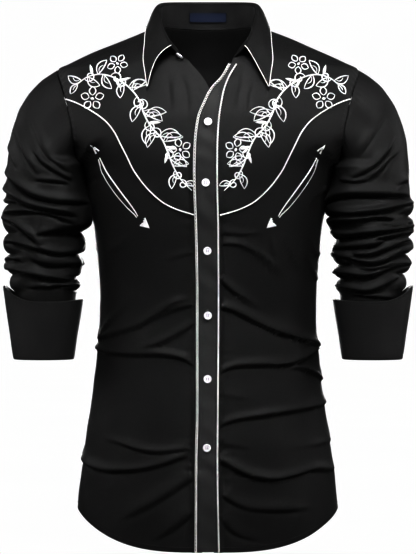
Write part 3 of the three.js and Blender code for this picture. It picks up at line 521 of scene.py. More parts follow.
def cloth_wall(name, grid, out, material, closed=False, thickness=WALL):
    """A closed wall of cloth: the grid is its outer face, turned so that its normals go along out."""
    rows, columns = grid.shape[:2]
    normals = grid_normals(grid, closed)
    if (normals * out).sum(-1).mean() < 0:
        normals = -normals
    inner = grid - normals * thickness
    points = np.concatenate([grid.reshape(-1, 3), inner.reshape(-1, 3)])
    back = rows * columns
    spans = columns if closed else columns - 1
    r, c = np.meshgrid(np.arange(rows - 1), np.arange(spans), indexing="ij")
    at = r * columns + c
    right = r * columns + (c + 1) % columns
    face = np.stack([at, right, right + columns, at + columns], axis=-1).reshape(-1, 4)
    faces = [face, back + face[:, ::-1]]
    c = np.arange(spans)
    low = np.stack([c, c + back, (c + 1) % columns + back, (c + 1) % columns], axis=-1)
    top = (rows - 1) * columns
    faces += [low, top + low[:, ::-1]]
    if not closed:
        r = np.arange(rows - 1) * columns
        side = np.stack([r, r + columns, r + columns + back, r + back], axis=-1)
        faces += [side, columns - 1 + side[:, ::-1]]
    faces = np.concatenate(faces)
    mesh = bpy.data.meshes.new(name)
    mesh.from_pydata((points * MM).tolist(), [], faces.tolist())
    # Turn the faces outwards where the grid runs the other way round.
    p = points[faces]
    volume = (np.cross(p[:, 0], p[:, 1]) * p[:, 2]).sum() + (np.cross(p[:, 0], p[:, 2]) * p[:, 3]).sum()
    if volume < 0:
        mesh.flip_normals()
    across = np.linalg.norm(np.diff(grid, axis=1), axis=-1).mean(axis=0)
    upward = np.linalg.norm(np.diff(grid, axis=0), axis=-1).mean(axis=1)
    u = np.concatenate([[0], np.cumsum(across)])[:columns]
    v = np.concatenate([[0], np.cumsum(upward)])
    flat = np.stack(np.meshgrid(u, v), axis=-1).reshape(-1, 2) * MM
    lay_uv(mesh, "cut", np.concatenate([flat, flat]))
    mesh.shade_smooth()
    mesh.set_sharp_from_angle(angle=math.radians(60))
    mesh.materials.append(material)
    return new_object(name, mesh)


def linear(colour):
    """An sRGB hex colour as linear RGBA."""
    parts = [int(colour[i:i + 2], 16) / 255 for i in (1, 3, 5)]
    return [p / 12.92 if p <= 0.04045 else ((p + 0.055) / 1.055) ** 2.4 for p in parts] + [1]


def add_node(tree, kind, inputs=None, **settings):
    """One node with its settings, its values and its links."""
    node = tree.nodes.new(kind)
    for name, value in settings.items():
        setattr(node, name, value)
    for socket, value in (inputs or {}).items():
        if isinstance(value, bpy.types.NodeSocket):
            tree.links.new(value, node.inputs[socket])
        else:
            node.inputs[socket].default_value = value
    return node


def mixed(tree, share, low, high):
    """Colour between two hex colours by a share."""
    node = add_node(tree, "ShaderNodeMix", data_type="RGBA")
    tree.links.new(share, node.inputs[0])
    node.inputs[6].default_value = linear(low)
    node.inputs[7].default_value = linear(high)
    return node.outputs[2]


def new_material(name):
    material = bpy.data.materials.new(name)
    material.use_nodes = True
    material.node_tree.nodes.clear()
    return material, material.node_tree


def maths(tree, operation, *values):
    return add_node(tree, "ShaderNodeMath", dict(enumerate(values)), operation=operation).outputs[0]


def object_place(tree):
    return add_node(tree, "ShaderNodeTexCoord").outputs["Object"]


def noise(tree, place, scale, **more):
    return add_node(tree, "ShaderNodeTexNoise", {"Vector": place, "Scale": scale, **more}).outputs[0]


def threads(tree, place, spacing):
    """A sine wave along a coordinate in metres; its spacing is in millimetres."""
    return maths(tree, "SINE", maths(tree, "MULTIPLY", place, 2 * math.pi / (spacing * MM)))


def surface(material, tree, inputs, height=None, strength=0.0, distance=0.0):
    """The finish, with a bump from a height; its distance is in millimetres."""
    if height is not None:
        bump = add_node(tree, "ShaderNodeBump", {
            "Height": height, "Strength": strength, "Distance": distance * MM,
        })
        inputs["Normal"] = bump.outputs[0]
    skin = add_node(tree, "ShaderNodeBsdfPrincipled", inputs)
    add_node(tree, "ShaderNodeOutputMaterial", {0: skin.outputs[0]})
    return material


def cotton_satin(name, low, high):
    """Black cotton satin, woven: near black, with a soft broad sheen on every ridge. The threads lie
    0.25 mm apart and are drawn 0.9 mm apart, so that they show."""
    material, tree = new_material(name)
    uv = add_node(tree, "ShaderNodeUVMap", uv_map="cut").outputs[0]
    parts = add_node(tree, "ShaderNodeSeparateXYZ", {0: uv}).outputs
    weave = maths(tree, "MULTIPLY", threads(tree, parts[0], 0.9), threads(tree, parts[1], 0.9))
    place = object_place(tree)
    slub = noise(tree, place, 420, Detail=2)
    shade = add_node(tree, "ShaderNodeMapRange", {
        "Value": slub, "From Min": 0.3, "From Max": 0.7, "To Min": 0.5, "To Max": 0.62,
    })
    return surface(material, tree, {
        "Base Color": mixed(tree, noise(tree, place, 16, Detail=3), low, high),
        "Roughness": shade.outputs[0],
        "IOR": 1.45,
        "Specular IOR Level": 0.3,
        "Sheen Weight": 0.03,
        "Sheen Roughness": 0.4,
    }, height=maths(tree, "MULTIPLY_ADD", weave, 0.5, slub), strength=0.25, distance=0.12)


BLACK_SATIN = cotton_satin("black_cotton_satin", "#1b1b1b", "#212121")


def fix(piece, slot, *nodes):
    """The piece belongs to the shirt's one body and stands for these nodes; its slot is not used."""
    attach(piece, "root")
    if nodes:
        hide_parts(*nodes)
    return piece


def panel(name, angle, z):
    grid = body_cloth(angle, z)
    piece = cloth_wall(f"{name}_cloth", grid, body_normal(angle, z), BLACK_SATIN)
    fix(piece, "black_satin", name)
    return piece


def back_panel():
    t, u = grid_of(PANEL_ROWS * 12, 120)
    turn, z = outer_edge(t * PANEL_ROWS, "back")
    around = lerp(-turn, turn, u)
    tail = bow(lambda a: tail_height(a, BACK_HEM), -turn, turn, u)
    seam = bow(back_yoke_height, -turn, turn, u)
    z = z + tail * (1 - t) ** 2 + seam * t ** 3
    panel("back", np.radians(180 - around), z)


back_panel()

# ---- Back yoke ----------------------------------------------------------------------------------
# The back yoke covers the shoulder blades in one piece of the same cloth, from the shoulder seams
# and the neckline down to its western point, and is topstitched on to the back.
NECK_POINT = 6
SHOULDER_SHARE = 0.3
neckline = table("angle z", [
    (18, -53),
    (25, -48),
    (34, -35),
    (48, -20),
    (62, -7),
    (76, 2),
    (90, NECK_POINT),
    (180, 5),
])


def back_yoke_top(u):
    """Turn and height of the yoke's top edge: shoulder, neckline, shoulder."""
    from_end = np.minimum(u, 1 - u)
    side = np.where(u < 0.5, -1, 1)
    neck = lerp(90, 0, np.maximum(from_end - SHOULDER_SHARE, 0) / (0.5 - SHOULDER_SHARE))
    shoulder = lerp(armhole["z"][0], NECK_POINT, np.minimum(from_end / SHOULDER_SHARE, 1))
    z = np.where(from_end <= SHOULDER_SHARE, shoulder, read(neckline, "angle", "z", 180 - neck))
    return side * neck, z


def armhole_seam(step, face):
    """Point of the armhole seam on the wearer's left."""
    turn = read(armhole, "step", face, step)
    z = read(armhole, "step", "z", step)
    return np.radians(turn if face == "front" else 180 - turn), z


def back_yoke():
    t, u = grid_of(52, 150)
    top_turn, top_z = back_yoke_top(u)
    end_turn = read(armhole, "step", "back", np.full_like(u, YOKE_STEP))
    low = lerp(-end_turn, end_turn, u)
    turn = lerp(low, top_turn, t)
    z = lerp(back_yoke_height(low), top_z, t)
    # The yoke's ends follow the armhole.
    for column, sign in ((0, -1), (-1, 1)):
        step = YOKE_STEP * (1 - t[:, column])
        turn[:, column] = sign * read(armhole, "step", "back", step)
        z[:, column] = read(armhole, "step", "z", step)
    panel("back_yoke", np.radians(180 - turn), z)


back_yoke()

# ---- Fronts -------------------------------------------------------------------------------------
# Each front is one panel of the satin from the placket to the side seam, pulled into creases that
# run from the buttons. The left one carries the placket and laps over the right one.
FRONT_HEM = -729
YOKE_CENTRE = -268
CENTRE_EDGE = 8.15
yoke_seam = table("angle z", [
    (-5, YOKE_CENTRE),
    (5, YOKE_CENTRE),
    (17, -262),
    (27, -252),
    (36, -233),
    (43.6, -206),
    (48, -178),
    (52.5, -153),
    (58, -135),
    (66, -119),
    (74, -107),
    (78.5, -102),
])
MIRROR = {"left": 1, "right": -1}


def yoke_seam_height(angle):
    return read(yoke_seam, "angle", "z", angle)


def front_panel(side):
    t, u = grid_of(PANEL_ROWS * 17, 72)
    turn, outer_z = outer_edge(t * PANEL_ROWS, "front")
    centre_z = lerp(FRONT_HEM, YOKE_CENTRE, t)
    inner = np.degrees(front_angle(MIRROR[side] * CENTRE_EDGE, centre_z)) * MIRROR[side]
    angle = lerp(inner, turn, u)
    tail = bow(lambda a: tail_height(a, FRONT_HEM), inner, turn, u)
    yoke = bow(yoke_seam_height, inner, turn, u)
    z = lerp(centre_z, outer_z, u) + tail * (1 - t) ** 2 + yoke * t ** 3
    panel(f"front_{side}", np.radians(MIRROR[side] * angle), z)


for side in MIRROR:
    front_panel(side)

# ---- Front yokes --------------------------------------------------------------------------------
# Each front yoke is a curved piece of the satin over the chest. Its inner edge turns away from the
# placket above the top fastened button, and opens the neck.
FRONT_NECK_ANGLE = {"left": 25, "right": 19}
OPEN_SHARE = 4 / 9
open_edge = {
    "left": table("z x", [
        (YOKE_CENTRE, CENTRE_EDGE),
        (-140, CENTRE_EDGE),
        (-98, 12),
        (-74, 24),
        (-48, 35.5),
    ]),
    "right": table("z x", [
        (YOKE_CENTRE, -CENTRE_EDGE),
        (-112, -CENTRE_EDGE),
        (-88, 0),
        (-70, 12),
        (-53, 27),
    ]),
}


def front_neck(share, side):
    """Angle and height of the neckline from the front edge to the neck point."""
    angle = lerp(FRONT_NECK_ANGLE[side], 90, share)
    return angle, read(neckline, "angle", "z", angle)


def front_yoke(side):
    t, u = grid_of(81, 88)
    corner = front_neck(0, side)[1]
    open_z = lerp(YOKE_CENTRE, corner, np.minimum(t / OPEN_SHARE, 1))
    open_angle = np.degrees(front_angle(read(open_edge[side], "z", "x", open_z), open_z))
    neck_angle, neck_z = front_neck(np.maximum(t - OPEN_SHARE, 0) / (1 - OPEN_SHARE), side)
    on_edge = t < OPEN_SHARE
    inner = np.where(on_edge, open_angle, neck_angle)
    inner_z = np.where(on_edge, open_z, neck_z)
    step = YOKE_STEP * (1 - t)
    turn = read(armhole, "step", "front", step)
    seam = bow(yoke_seam_height, inner, turn, u)
    z = lerp(inner_z, read(armhole, "step", "z", step), u) + seam * (1 - t) ** 3
    angle = np.radians(MIRROR[side] * lerp(inner, turn, u))
    panel(f"front_yoke_{side}", angle, z)


for side in MIRROR:
    front_yoke(side)

# ---- Sleeves ------------------------------------------------------------------------------------
# Each sleeve is a tube of the satin set into the armhole. It is pushed up the forearm, so its lower
# half bunches into deep uneven rings, and the upper arm is drawn towards the armpit.
ARM_CENTRE = 231
ARM_HALF = 60
ARM_TO_BODY = 0.8
RING_POINTS = 128
CAP_ROWS = 75
ARM_ROWS = 150
CAP_DIP = (27, 84)
CAP_FULLNESS = 1.16
arm_rings = table("z x y across deep", [
    (-216, 232, -10, 52.5, 60),
    (-246, 231, -14, 55, 58),
    (-300, 231, -20, 53.5, 56),
    (-335, 231, -24, 49.5, 51),
    (-372, 229, -27, 43.5, 46.5),
    (-400, 230, -29, 41.5, 43.5),
    (-462, 230.5, -30, 40.6, 42.1),
])
# Rings of bunched cloth across the front of each sleeve: the crest's distance out from the middle of
# the arm and its height, from the body side to the outer side.
SLEEVE_FOLDS = {
    "left": [
        # height, above, below, start, end, line
        (6.0, 13, 4.5, 0.02, 0.02, [(-60, -252), (-40, -238), (0, -236), (30, -236), (60, -239)]),
        (5.0, 7, 4.2, 0.05, 0.02, [(-55, -262), (-21, -263), (5, -259), (27, -254), (60, -244)]),
        (3.6, 6, 3.6, 0.1, 0.3, [(-50, -272), (-20, -272), (5, -268), (36, -272)]),
        (3.4, 6, 3.6, 0.5, 0.1, [(-4, -278), (14, -279), (30, -278), (56, -272)]),
        (6.0, 9, 4.0, 0.02, 0.02, [
            (-60, -288), (-40, -294), (-25, -292), (1, -289), (23, -286), (60, -278),
        ]),
        (4.0, 6, 3.6, 0.3, 0.05, [(-10, -300), (14, -296), (34, -291), (58, -288)]),
        (4.2, 8, 4.0, 0.1, 0.3, [(-55, -310), (-21, -308), (-4, -306), (20, -298)]),
        (5.0, 7, 4.0, 0.1, 0.05, [(-34, -320), (-10, -320), (10, -314), (27, -306), (50, -297), (60, -298)]),
        (5.0, 8, 4.0, 0.05, 0.05, [
            (-60, -318), (-28, -325), (-6, -332), (10, -329), (31, -319), (60, -309),
        ]),
        (3.4, 7, 3.6, 0.4, 0.2, [(-30, -337), (-8, -340), (14, -336), (34, -326)]),
        (5.2, 8, 4.0, 0.05, 0.02, [
            (-60, -341), (-31, -347), (-16, -350), (1, -346), (14, -339), (40, -331), (60, -336),
        ]),
        (4.2, 8, 4.0, 0.05, 0.2, [(-60, -359), (-23, -370), (-8, -371), (10, -364), (23, -356), (38, -347)]),
        (3.0, 6, 3.6, 0.2, 0.3, [(-34, -374), (-10, -376), (14, -380), (30, -380)]),
    ],
    "right": [
        (5.4, 10, 4.5, 0.02, 0.05, [
            (60, -196), (44, -211), (31, -224), (14, -236), (-6, -244), (-30, -246), (-60, -246),
        ]),
        (6.0, 9, 4.5, 0.02, 0.1, [
            (60, -215), (50, -232), (35, -240), (21, -249), (2, -255), (-17, -260), (-40, -266),
        ]),
        (4.0, 8, 3.4, 0.05, 0.2, [(60, -262), (41, -260), (10, -260), (-6, -263), (-22, -270), (-40, -278)]),
        (4.4, 8, 4.0, 0.05, 0.2, [
            (60, -268), (50, -270), (35, -277), (21, -289), (10, -296), (3, -308), (-8, -316),
        ]),
        (4.6, 8, 3.4, 0.3, 0.05, [(14, -295), (0, -290), (-20, -289), (-60, -290)]),
        (4.6, 7, 3.8, 0.05, 0.05, [
            (60, -303), (46, -301), (31, -304), (14, -309), (-4, -314), (-30, -319), (-60, -310),
        ]),
        (3.4, 6, 3.4, 0.1, 0.4, [(60, -328), (46, -326), (33, -325), (22, -331)]),
        (3.6, 12, 5.0, 0.4, 0.1, [(20, -322), (4, -328), (-14, -333), (-60, -330)]),
        (5.4, 9, 4.0, 0.02, 0.1, [
            (60, -337), (45, -340), (30, -343), (14, -347), (-6, -351), (-30, -354), (-60, -346),
        ]),
        (3.0, 6, 3.4, 0.3, 0.1, [(0, -364), (-6, -358), (-24, -355), (-50, -357)]),
        (3.2, 7, 3.6, 0.3, 0.1, [(24, -364), (0, -365), (-20, -363), (-50, -361)]),
    ],
}
# Drag lines of the upper arm, seen from the front, and a few behind it.
UPPER_ARM_FOLDS = {
    "left": [
        (3.2, 9, 5, 0.3, 0.2, [(33, -148), (22, -170), (8, -188), (-10, -205), (-30, -219)]),
        (3.0, 8, 5, 0.3, 0.3, [(42, -168), (20, -188), (4, -206), (-10, -226)]),
        (3.2, 8, 4, 0.2, 0.3, [(-40, -216), (-20, -219), (-4, -216)]),
        (2.6, 10, 6, 0.2, 0.4, [(52, -214), (36, -220), (22, -232)]),
        (2.2, 11, 8, 0.4, 0.3, [(20, -116), (4, -140), (-12, -164), (-26, -186)]),
    ],
    "right": [
        (2.6, 10, 7, 0.4, 0.2, [(18, -121), (8, -144), (-4, -172), (-22, -198), (-34, -212)]),
        (3.2, 8, 5, 0.3, 0.2, [(14, -171), (0, -189), (-14, -205), (-36, -218)]),
        (3.0, 7, 4, 0.3, 0.1, [(12, -216), (-8, -217), (-28, -221)]),
        (3.0, 9, 6, 0.3, 0.3, [(44, -130), (34, -156), (20, -184), (2, -212)]),
        (2.4, 9, 6, 0.3, 0.3, [(54, -158), (46, -180), (34, -202)]),
    ],
}


# Heights where the bunched sleeve is nipped in between its lobes, towards the body and away from it.
SLEEVE_NOTCHES = {
    "left": {"inner": (-267, -299, -335, -354, -381), "outer": (-266, -296, -320, -348)},
    "right": {"inner": (-288, -320, -352, -372), "outer": (-249, -290, -320, -349)},
}
LOBE = {"bulge": 5.0, "nip": 4.5, "from": -236, "to": -376, "grows": 12, "fades": 10, "roundness": 0.6}
LOBE_EDGE = {"from": 0.45, "over": 0.5}
# How the listed folds are pressed: the bunched rings, and the drag lines of the upper arm.
RING_PRESS = {"height": 1.2, "above": 0.85, "below": 0.8}
DRAG_PRESS = {"height": 1.15, "above": 0.7, "below": 0.62}
# Ridges die away before the outline, which the lobes make.
OUTLINE_FADE = 0.16
SLEEVE_DIP = 0.95
RING_SAG = 7
DRAG_SHIFT = (4, 3)
SLEEVE_SEED = {"left": 11, "right": 12}
# Seed, size and wave length of each unevenness of a sleeve.
SLEEVE_RIPPLES = {"left": ((21, 1.0, 60), (23, 0.4, 22)), "right": ((22, 1.0, 60), (24, 0.4, 22))}
# Rows over which the folds grow from the armhole and fade to the cuff.
HELD_ROWS = (6, 10)
BODY_SQUARENESS = 2.35
# Where the inner side of each sleeve leans on the body: heights it starts and ends at, and how far.
SLEEVE_LEAN = {"left": (-186, -284, 9), "right": (-182, -292, 10)}
LEAN_EASE = 14
LEAN_SIDE = {"turn": 2.75, "from": 0.25, "over": 0.6}


def lobes(side, turn, z):
    """Rounded lobes down both edges of the bunched sleeve, nipped in sharply between them."""
    total = np.zeros_like(z)
    for edge, facing in (("inner", -1), ("outer", 1)):
        nips = np.array([LOBE["to"], *sorted(SLEEVE_NOTCHES[side][edge]), LOBE["from"]])
        part = np.clip(np.searchsorted(nips, z) - 1, 0, len(nips) - 2)
        share = np.clip((z - nips[part]) / (nips[part + 1] - nips[part]), 0, 1)
        lobe = (LOBE["bulge"] + LOBE["nip"]) * np.sin(np.pi * share) ** LOBE["roundness"] - LOBE["nip"]
        total += lobe * smooth((facing * np.cos(turn) - LOBE_EDGE["from"]) / LOBE_EDGE["over"])
    return total * smooth((LOBE["from"] - z) / LOBE["grows"]) * smooth((z - LOBE["to"]) / LOBE["fades"])


def arm_ring(turn, z):
    """The smooth arm on the wearer's left; the turn goes from outer (0) past the front."""
    x, y, across, deep = (read(arm_rings, "z", c, z) for c in ("x", "y", "across", "deep"))
    return np.stack([x + across * np.cos(turn), y - deep * np.sin(turn), z + 0 * turn], axis=-1)


def armhole_ring(turn):
    """Armhole seam as the sleeve meets it: down the front from the shoulder tip, up the back."""
    step = turn / np.pi * LAST_STEP
    front = body_form(*armhole_seam(np.minimum(step, LAST_STEP), "front"))
    back = body_form(*armhole_seam(np.minimum(2 * LAST_STEP - step, LAST_STEP), "back"))
    return np.where((step <= LAST_STEP)[..., None], front, back)


def sleeve_form():
    """Grid of the smooth sleeve on the wearer's left, from the armhole to the cuff."""
    turn = np.linspace(0, 2 * np.pi, RING_POINTS, endpoint=False)
    start = armhole_ring(turn)
    end = arm_ring(turn, np.full_like(turn, arm_rings["z"][0]))
    dip = np.radians(lerp(*CAP_DIP, (1 - np.cos(turn)) / 2))
    leave = np.stack([np.cos(dip), 0 * dip, -np.sin(dip)], axis=-1)
    reach = np.linalg.norm(end - start, axis=-1, keepdims=True) * CAP_FULLNESS
    rows = []
    for t in np.arange(CAP_ROWS) / CAP_ROWS:
        rise = np.array([0, 0, 1]) * reach * t * t * (1 - t)
        row = start * (1 + 2 * t) * (1 - t) ** 2 + end * t * t * (3 - 2 * t)
        rows.append(row + leave * reach * t * (1 - t) ** 2 + rise)
    for z in np.linspace(arm_rings["z"][0], arm_rings["z"][-1], ARM_ROWS):
        rows.append(arm_ring(turn, np.full_like(turn, z)))
    return np.stack(rows)


def sleeve_folds(side, form, normals):
    """Folds laid on the form: across the front as listed, and uneven likenesses of them behind."""
    half_turn = RING_POINTS // 2
    faces = {
        "front": (form[:, :half_turn + 1].reshape(-1, 3), normals[:, :half_turn + 1].reshape(-1, 3)),
        "back": (form[:, half_turn:].reshape(-1, 3), normals[:, half_turn:].reshape(-1, 3)),
    }
    folds = []

    def lay(face, row, line, press):
        height, above, below, start, end = row
        height = height * press["height"]
        above = above * press["above"]
        below = below * press["below"]
        points, outs = faces[face]
        path = smooth_path(line, 4.0)
        far = (points[None, :, 0] - ARM_CENTRE - path[:, :1]) ** 2 + (points[None, :, 2] - path[:, 1:]) ** 2
        nearest = far.argmin(axis=1)
        on_form = points[nearest]
        keep = np.concatenate([[True], np.linalg.norm(np.diff(on_form, axis=0), axis=1) > 1.5])
        # A light running mean takes the grid's steps out of the line.
        for _ in range(3):
            middle = (on_form[:-2] + 2 * on_form[1:-1] + on_form[2:]) / 4
            on_form = np.concatenate([on_form[:1], middle, on_form[-1:]])
        start, end = max(start, OUTLINE_FADE), max(end, OUTLINE_FADE)
        out = outs[nearest][keep]
        folds.append(make_fold(on_form[keep], out, height, above, below, start, end, SLEEVE_DIP))

    draw = np.random.default_rng(SLEEVE_SEED[side])
    for *row, line in SLEEVE_FOLDS[side]:
        lay("front", row, line, RING_PRESS)
        sag = draw.uniform(-RING_SAG, RING_SAG)
        behind = [(x, z + sag * math.cos(x / ARM_HALF * math.pi / 2)) for x, z in line]
        if draw.random() < 0.8:
            lay("back", [row[0] * draw.uniform(0.7, 1.1), *row[1:]], behind, RING_PRESS)
    across, along = DRAG_SHIFT
    for *row, line in UPPER_ARM_FOLDS[side]:
        lay("front", row, line, DRAG_PRESS)
        behind = [(x + draw.uniform(-across, across), z + draw.uniform(-along, along)) for x, z in line]
        lay("back", row, behind, DRAG_PRESS)
    return folds


def sleeve(side):
    form = sleeve_form()
    normals = grid_normals(form, closed=True)
    normals *= np.sign(normals[CAP_ROWS, 0, 0])
    flat = form.reshape(-1, 3)
    lift = fold_lift(flat, sleeve_folds(side, form, normals))
    for waves in SLEEVE_RIPPLES[side]:
        lift = lift + ripple(flat, *waves)
    turn = np.broadcast_to(np.linspace(0, 2 * np.pi, RING_POINTS, endpoint=False), form.shape[:2])
    lift = lift + lobes(side, turn, form[..., 2]).ravel()
    rows = np.arange(len(form))[:, None]
    held = smooth(rows / HELD_ROWS[0]) * smooth((len(form) - 1 - rows) / HELD_ROWS[1])
    lift = lift.reshape(form.shape[:2]) * held
    # Gathers run a little way down from the armhole seam.
    around = np.linalg.norm(form[0] - np.roll(form[0], 1, axis=0), axis=-1).cumsum()
    down = np.linalg.norm(form - form[0], axis=-1)
    lift = lift + seam_pucker(around + 4, down) * smooth(down / SEAM_PUCKER["near"])
    grid = form + normals * lift[..., None]
    top, foot, far = SLEEVE_LEAN[side]
    z = grid[..., 2]
    inner_side = smooth((np.cos(turn - LEAN_SIDE["turn"]) - LEAN_SIDE["from"]) / LEAN_SIDE["over"])
    lean = smooth((top - z) / LEAN_EASE) * smooth((z - foot) / LEAN_EASE) * inner_side
    grid[..., 0] -= far * lean
    grid[..., 1] -= far * lean
    depth = np.clip(np.abs(grid[..., 1]) / read(sections, "z", "front", z), 0, 1)
    half = read(sections, "z", "half", z)
    clear = half * (1 - depth ** BODY_SQUARENESS) ** (1 / BODY_SQUARENESS) + ARM_TO_BODY
    below_pit = smooth((ARMPIT - z) / 10)
    grid[..., 0] = np.maximum(grid[..., 0], clear * below_pit)
    mirror = np.array([MIRROR[side], 1, 1])
    piece = cloth_wall(f"sleeve_{side}_cloth", grid * mirror, normals * mirror, BLACK_SATIN, closed=True)
    fix(piece, "black_satin", f"sleeve_{side}")


for side in MIRROR:
    sleeve(side)

# ---- Cuffs --------------------------------------------------------------------------------------
# Each cuff is a stiff interlined band of the satin, turned back over the sleeve. It folds round at
# the bottom and flares up to a free edge that rises to a tip at the outer and the inner side.
# The cuffs and the placket take a lighter copy of the satin: its colour is painted sheen, standing in for
# the light that the taut interlined cloth catches.
SHEEN_PAINTED_SATIN = cotton_satin("interlined_satin_with_painted_sheen", "#303030", "#3b3b3b")
CUFF_CENTRE = (231, -30)
CUFF_WALL = 2.4
cuff_profile = table("share z across deep", [
    # from inside the fold, round it and up to the free edge; z is the height above the fold
    (0, 7, 38.6, 40.1),
    (0.03, 1.5, 38.8, 40.3),
    (0.05, -0.6, 40.2, 41.7),
    (0.07, 0.4, 42.2, 43.7),
    (0.12, 4.5, 43.2, 44.5),
    (0.4, 32, 47.5, 47.2),
    (0.7, 58, 52.4, 50.4),
    (1, 82, 56.3, 53),
])
CUFF_FOLD_Z = -467
CUFF_TOP = {"outer": -364, "inner": -383, "front": -386.5, "sharpness": 2.6}
CUFF_RISE = 0.8
CUFF_GIVE = (0.7, 0.5)
# Rows round the fold, then up the face: first share, last share and how many.
CUFF_ROWS = ((0, 0.12, 12), (0.14, 1, 34))


def cuff_point(turn, share):
    """Point of the cuff on the wearer's left at a turn and a share of the way up its face."""
    outward = np.cos(turn)
    tip = np.where(outward > 0, CUFF_TOP["outer"], CUFF_TOP["inner"])
    top = lerp(CUFF_TOP["front"], tip, np.abs(outward) ** CUFF_TOP["sharpness"])
    rise, across, deep = (read(cuff_profile, "share", c, share) for c in ("z", "across", "deep"))
    tall = (top - CUFF_FOLD_Z) / cuff_profile["z"][-1]
    z = CUFF_FOLD_Z + rise * lerp(1, tall, smooth(share / CUFF_RISE))
    slow = CUFF_GIVE[0] * np.sin(3 * turn + 1) * smooth(share)
    give = slow + CUFF_GIVE[1] * np.sin(5 * turn) * smooth(share)
    x = CUFF_CENTRE[0] + (across + give) * outward
    y = CUFF_CENTRE[1] - (deep + give) * np.sin(turn)
    return np.stack([x, y, z], axis=-1)


def cuff(side):
    share, turn = np.meshgrid(
        np.concatenate([np.linspace(*rows) for rows in CUFF_ROWS]),
        np.linspace(0, 2 * np.pi, 120, endpoint=False),
        indexing="ij",
    )
    grid = cuff_point(turn, share)
    out = np.stack([np.cos(turn), -np.sin(turn), 0 * turn], axis=-1)
    out[:8] *= -1
    mirror = np.array([MIRROR[side], 1, 1])
    # The cuff's colour is the lighter copy of the satin: painted sheen.
    piece = cloth_wall(
        f"cuff_{side}_cloth", grid * mirror, out * mirror, SHEEN_PAINTED_SATIN,
        closed=True, thickness=CUFF_WALL,
    )
    fix(piece, "black_satin", f"cuff_{side}")


for side in MIRROR:
    cuff(side)

# ---- Collar -------------------------------------------------------------------------------------
# The collar has an interlined stand sewn to the neckline and a leaf that rolls over it, flat and
# stiff, to long spread points. Both are the satin, pressed smooth.
COLLAR_WALL = 1.4
FRONT_EDGE_BOW = (-3.5, 0, 8)
STAND_TOP = (3, 4)
NECK_STEPS = 9
SHOULDER_STEP = 5
# How far the collar's back is evened, where that comes in and where it keeps its full depth.
BACK_CURVE = {"passes": 0.35, "from": 0.5, "deep_from": 0.7, "over": 0.3}
STAND_IN = 1.2
STAND_BULGE = 0.8
STAND_LIFT = 0.3
# How the leaf starts under the roll, stands out below it and bows at its front edge.
LEAF = {"start": 0.6, "in": 1.8, "down": 0.9, "bulge": 3.4, "bow_share": 0.16, "step": 2.4}
LEAF_ROWS = (0.06, 0.16, 0.3, 0.5, 0.7, 0.85, 1)
COLLAR_COLUMNS = {"stand": 70, "leaf": 80}
collar_line = table("at rollX rollY rollZ edgeX edgeY edgeZ", [
    (0, 51, -80, -31, 84, -94, -89),
    (0.12, 56.5, -71, -21, 86.5, -88, -70),
    (0.26, 62, -58, -7, 89.5, -76, -48),
    (0.42, 67.5, -36, 13, 88.5, -56, -26),
    (0.56, 70.5, -12, 28, 88, -27, -7),
    (0.68, 70, 16, 38, 87.5, 8, 4),
    (0.82, 54, 48, 44, 68, 56, 2),
    (1, 0, 68, 47, 0, 85, -3),
])


def collar_half(at, side):
    """Neckline, top of the stand, roll and free edge of one half, from the front end to the back."""
    on_front = at * NECK_STEPS <= SHOULDER_STEP
    front_share = np.minimum(at * NECK_STEPS / SHOULDER_STEP, 1)
    back_share = np.clip((at * NECK_STEPS - SHOULDER_STEP) / (NECK_STEPS - SHOULDER_STEP), 0, 1)
    angle = np.where(on_front, front_neck(front_share, side)[0], lerp(90, 180, back_share))
    base = body_form(np.radians(angle), read(neckline, "angle", "z", angle))
    roll = np.stack([read(collar_line, "at", "roll" + c, at) for c in "XYZ"], axis=-1)
    edge = np.stack([read(collar_line, "at", "edge" + c, at) for c in "XYZ"], axis=-1)
    outward = unit(roll * [1, 1, 0])
    top = roll - outward * STAND_TOP[0] - np.array([0, 0, STAND_TOP[1]])
    return [v * [MIRROR[side], 1, 1] for v in (base, top, roll, edge, outward)]


def collar_lines(count):
    """The same lines all round, from the wearer's right front end to the left one."""
    at = np.linspace(0, 1, count)
    right = collar_half(at, "right")
    left = collar_half(at[::-1], "left")
    lines = [np.concatenate([r, l[1:]]) for r, l in zip(right, left)]
    # Above the neckline the collar runs round the back of the neck in one even curve.
    at = np.concatenate([at, at[-2::-1]])
    share = smooth((at - BACK_CURVE["from"]) / BACK_CURVE["over"])[:, None]
    for k in (1, 2, 3):
        even_line = lines[k].copy()
        for _ in range(int(BACK_CURVE["passes"] * count)):
            even_line[1:-1] = (even_line[:-2] + 2 * even_line[1:-1] + even_line[2:]) / 4
        lost = (lines[k] - even_line)[count - 1] * [0, 1, 0]
        even_line = even_line + lost * smooth((at - BACK_CURVE["deep_from"]) / BACK_CURVE["over"])[:, None]
        lines[k] = lerp(lines[k], even_line, share)
    return lines


def collar_stand():
    base, top, *_, outward = collar_lines(COLLAR_COLUMNS["stand"])
    rows = np.linspace(0, 1, 16)[:, None, None]
    grid = base + (top - base) * rows + outward * STAND_BULGE * np.sin(np.pi * rows)
    grid = grid + np.array([0, 0, STAND_LIFT]) * (1 - rows)
    piece = cloth_wall(
        "collar_stand_cloth", grid - outward * STAND_IN, -outward + 0 * grid, BLACK_SATIN,
        thickness=COLLAR_WALL,
    )
    fix(piece, "black_satin", "collar_stand")
    return grid


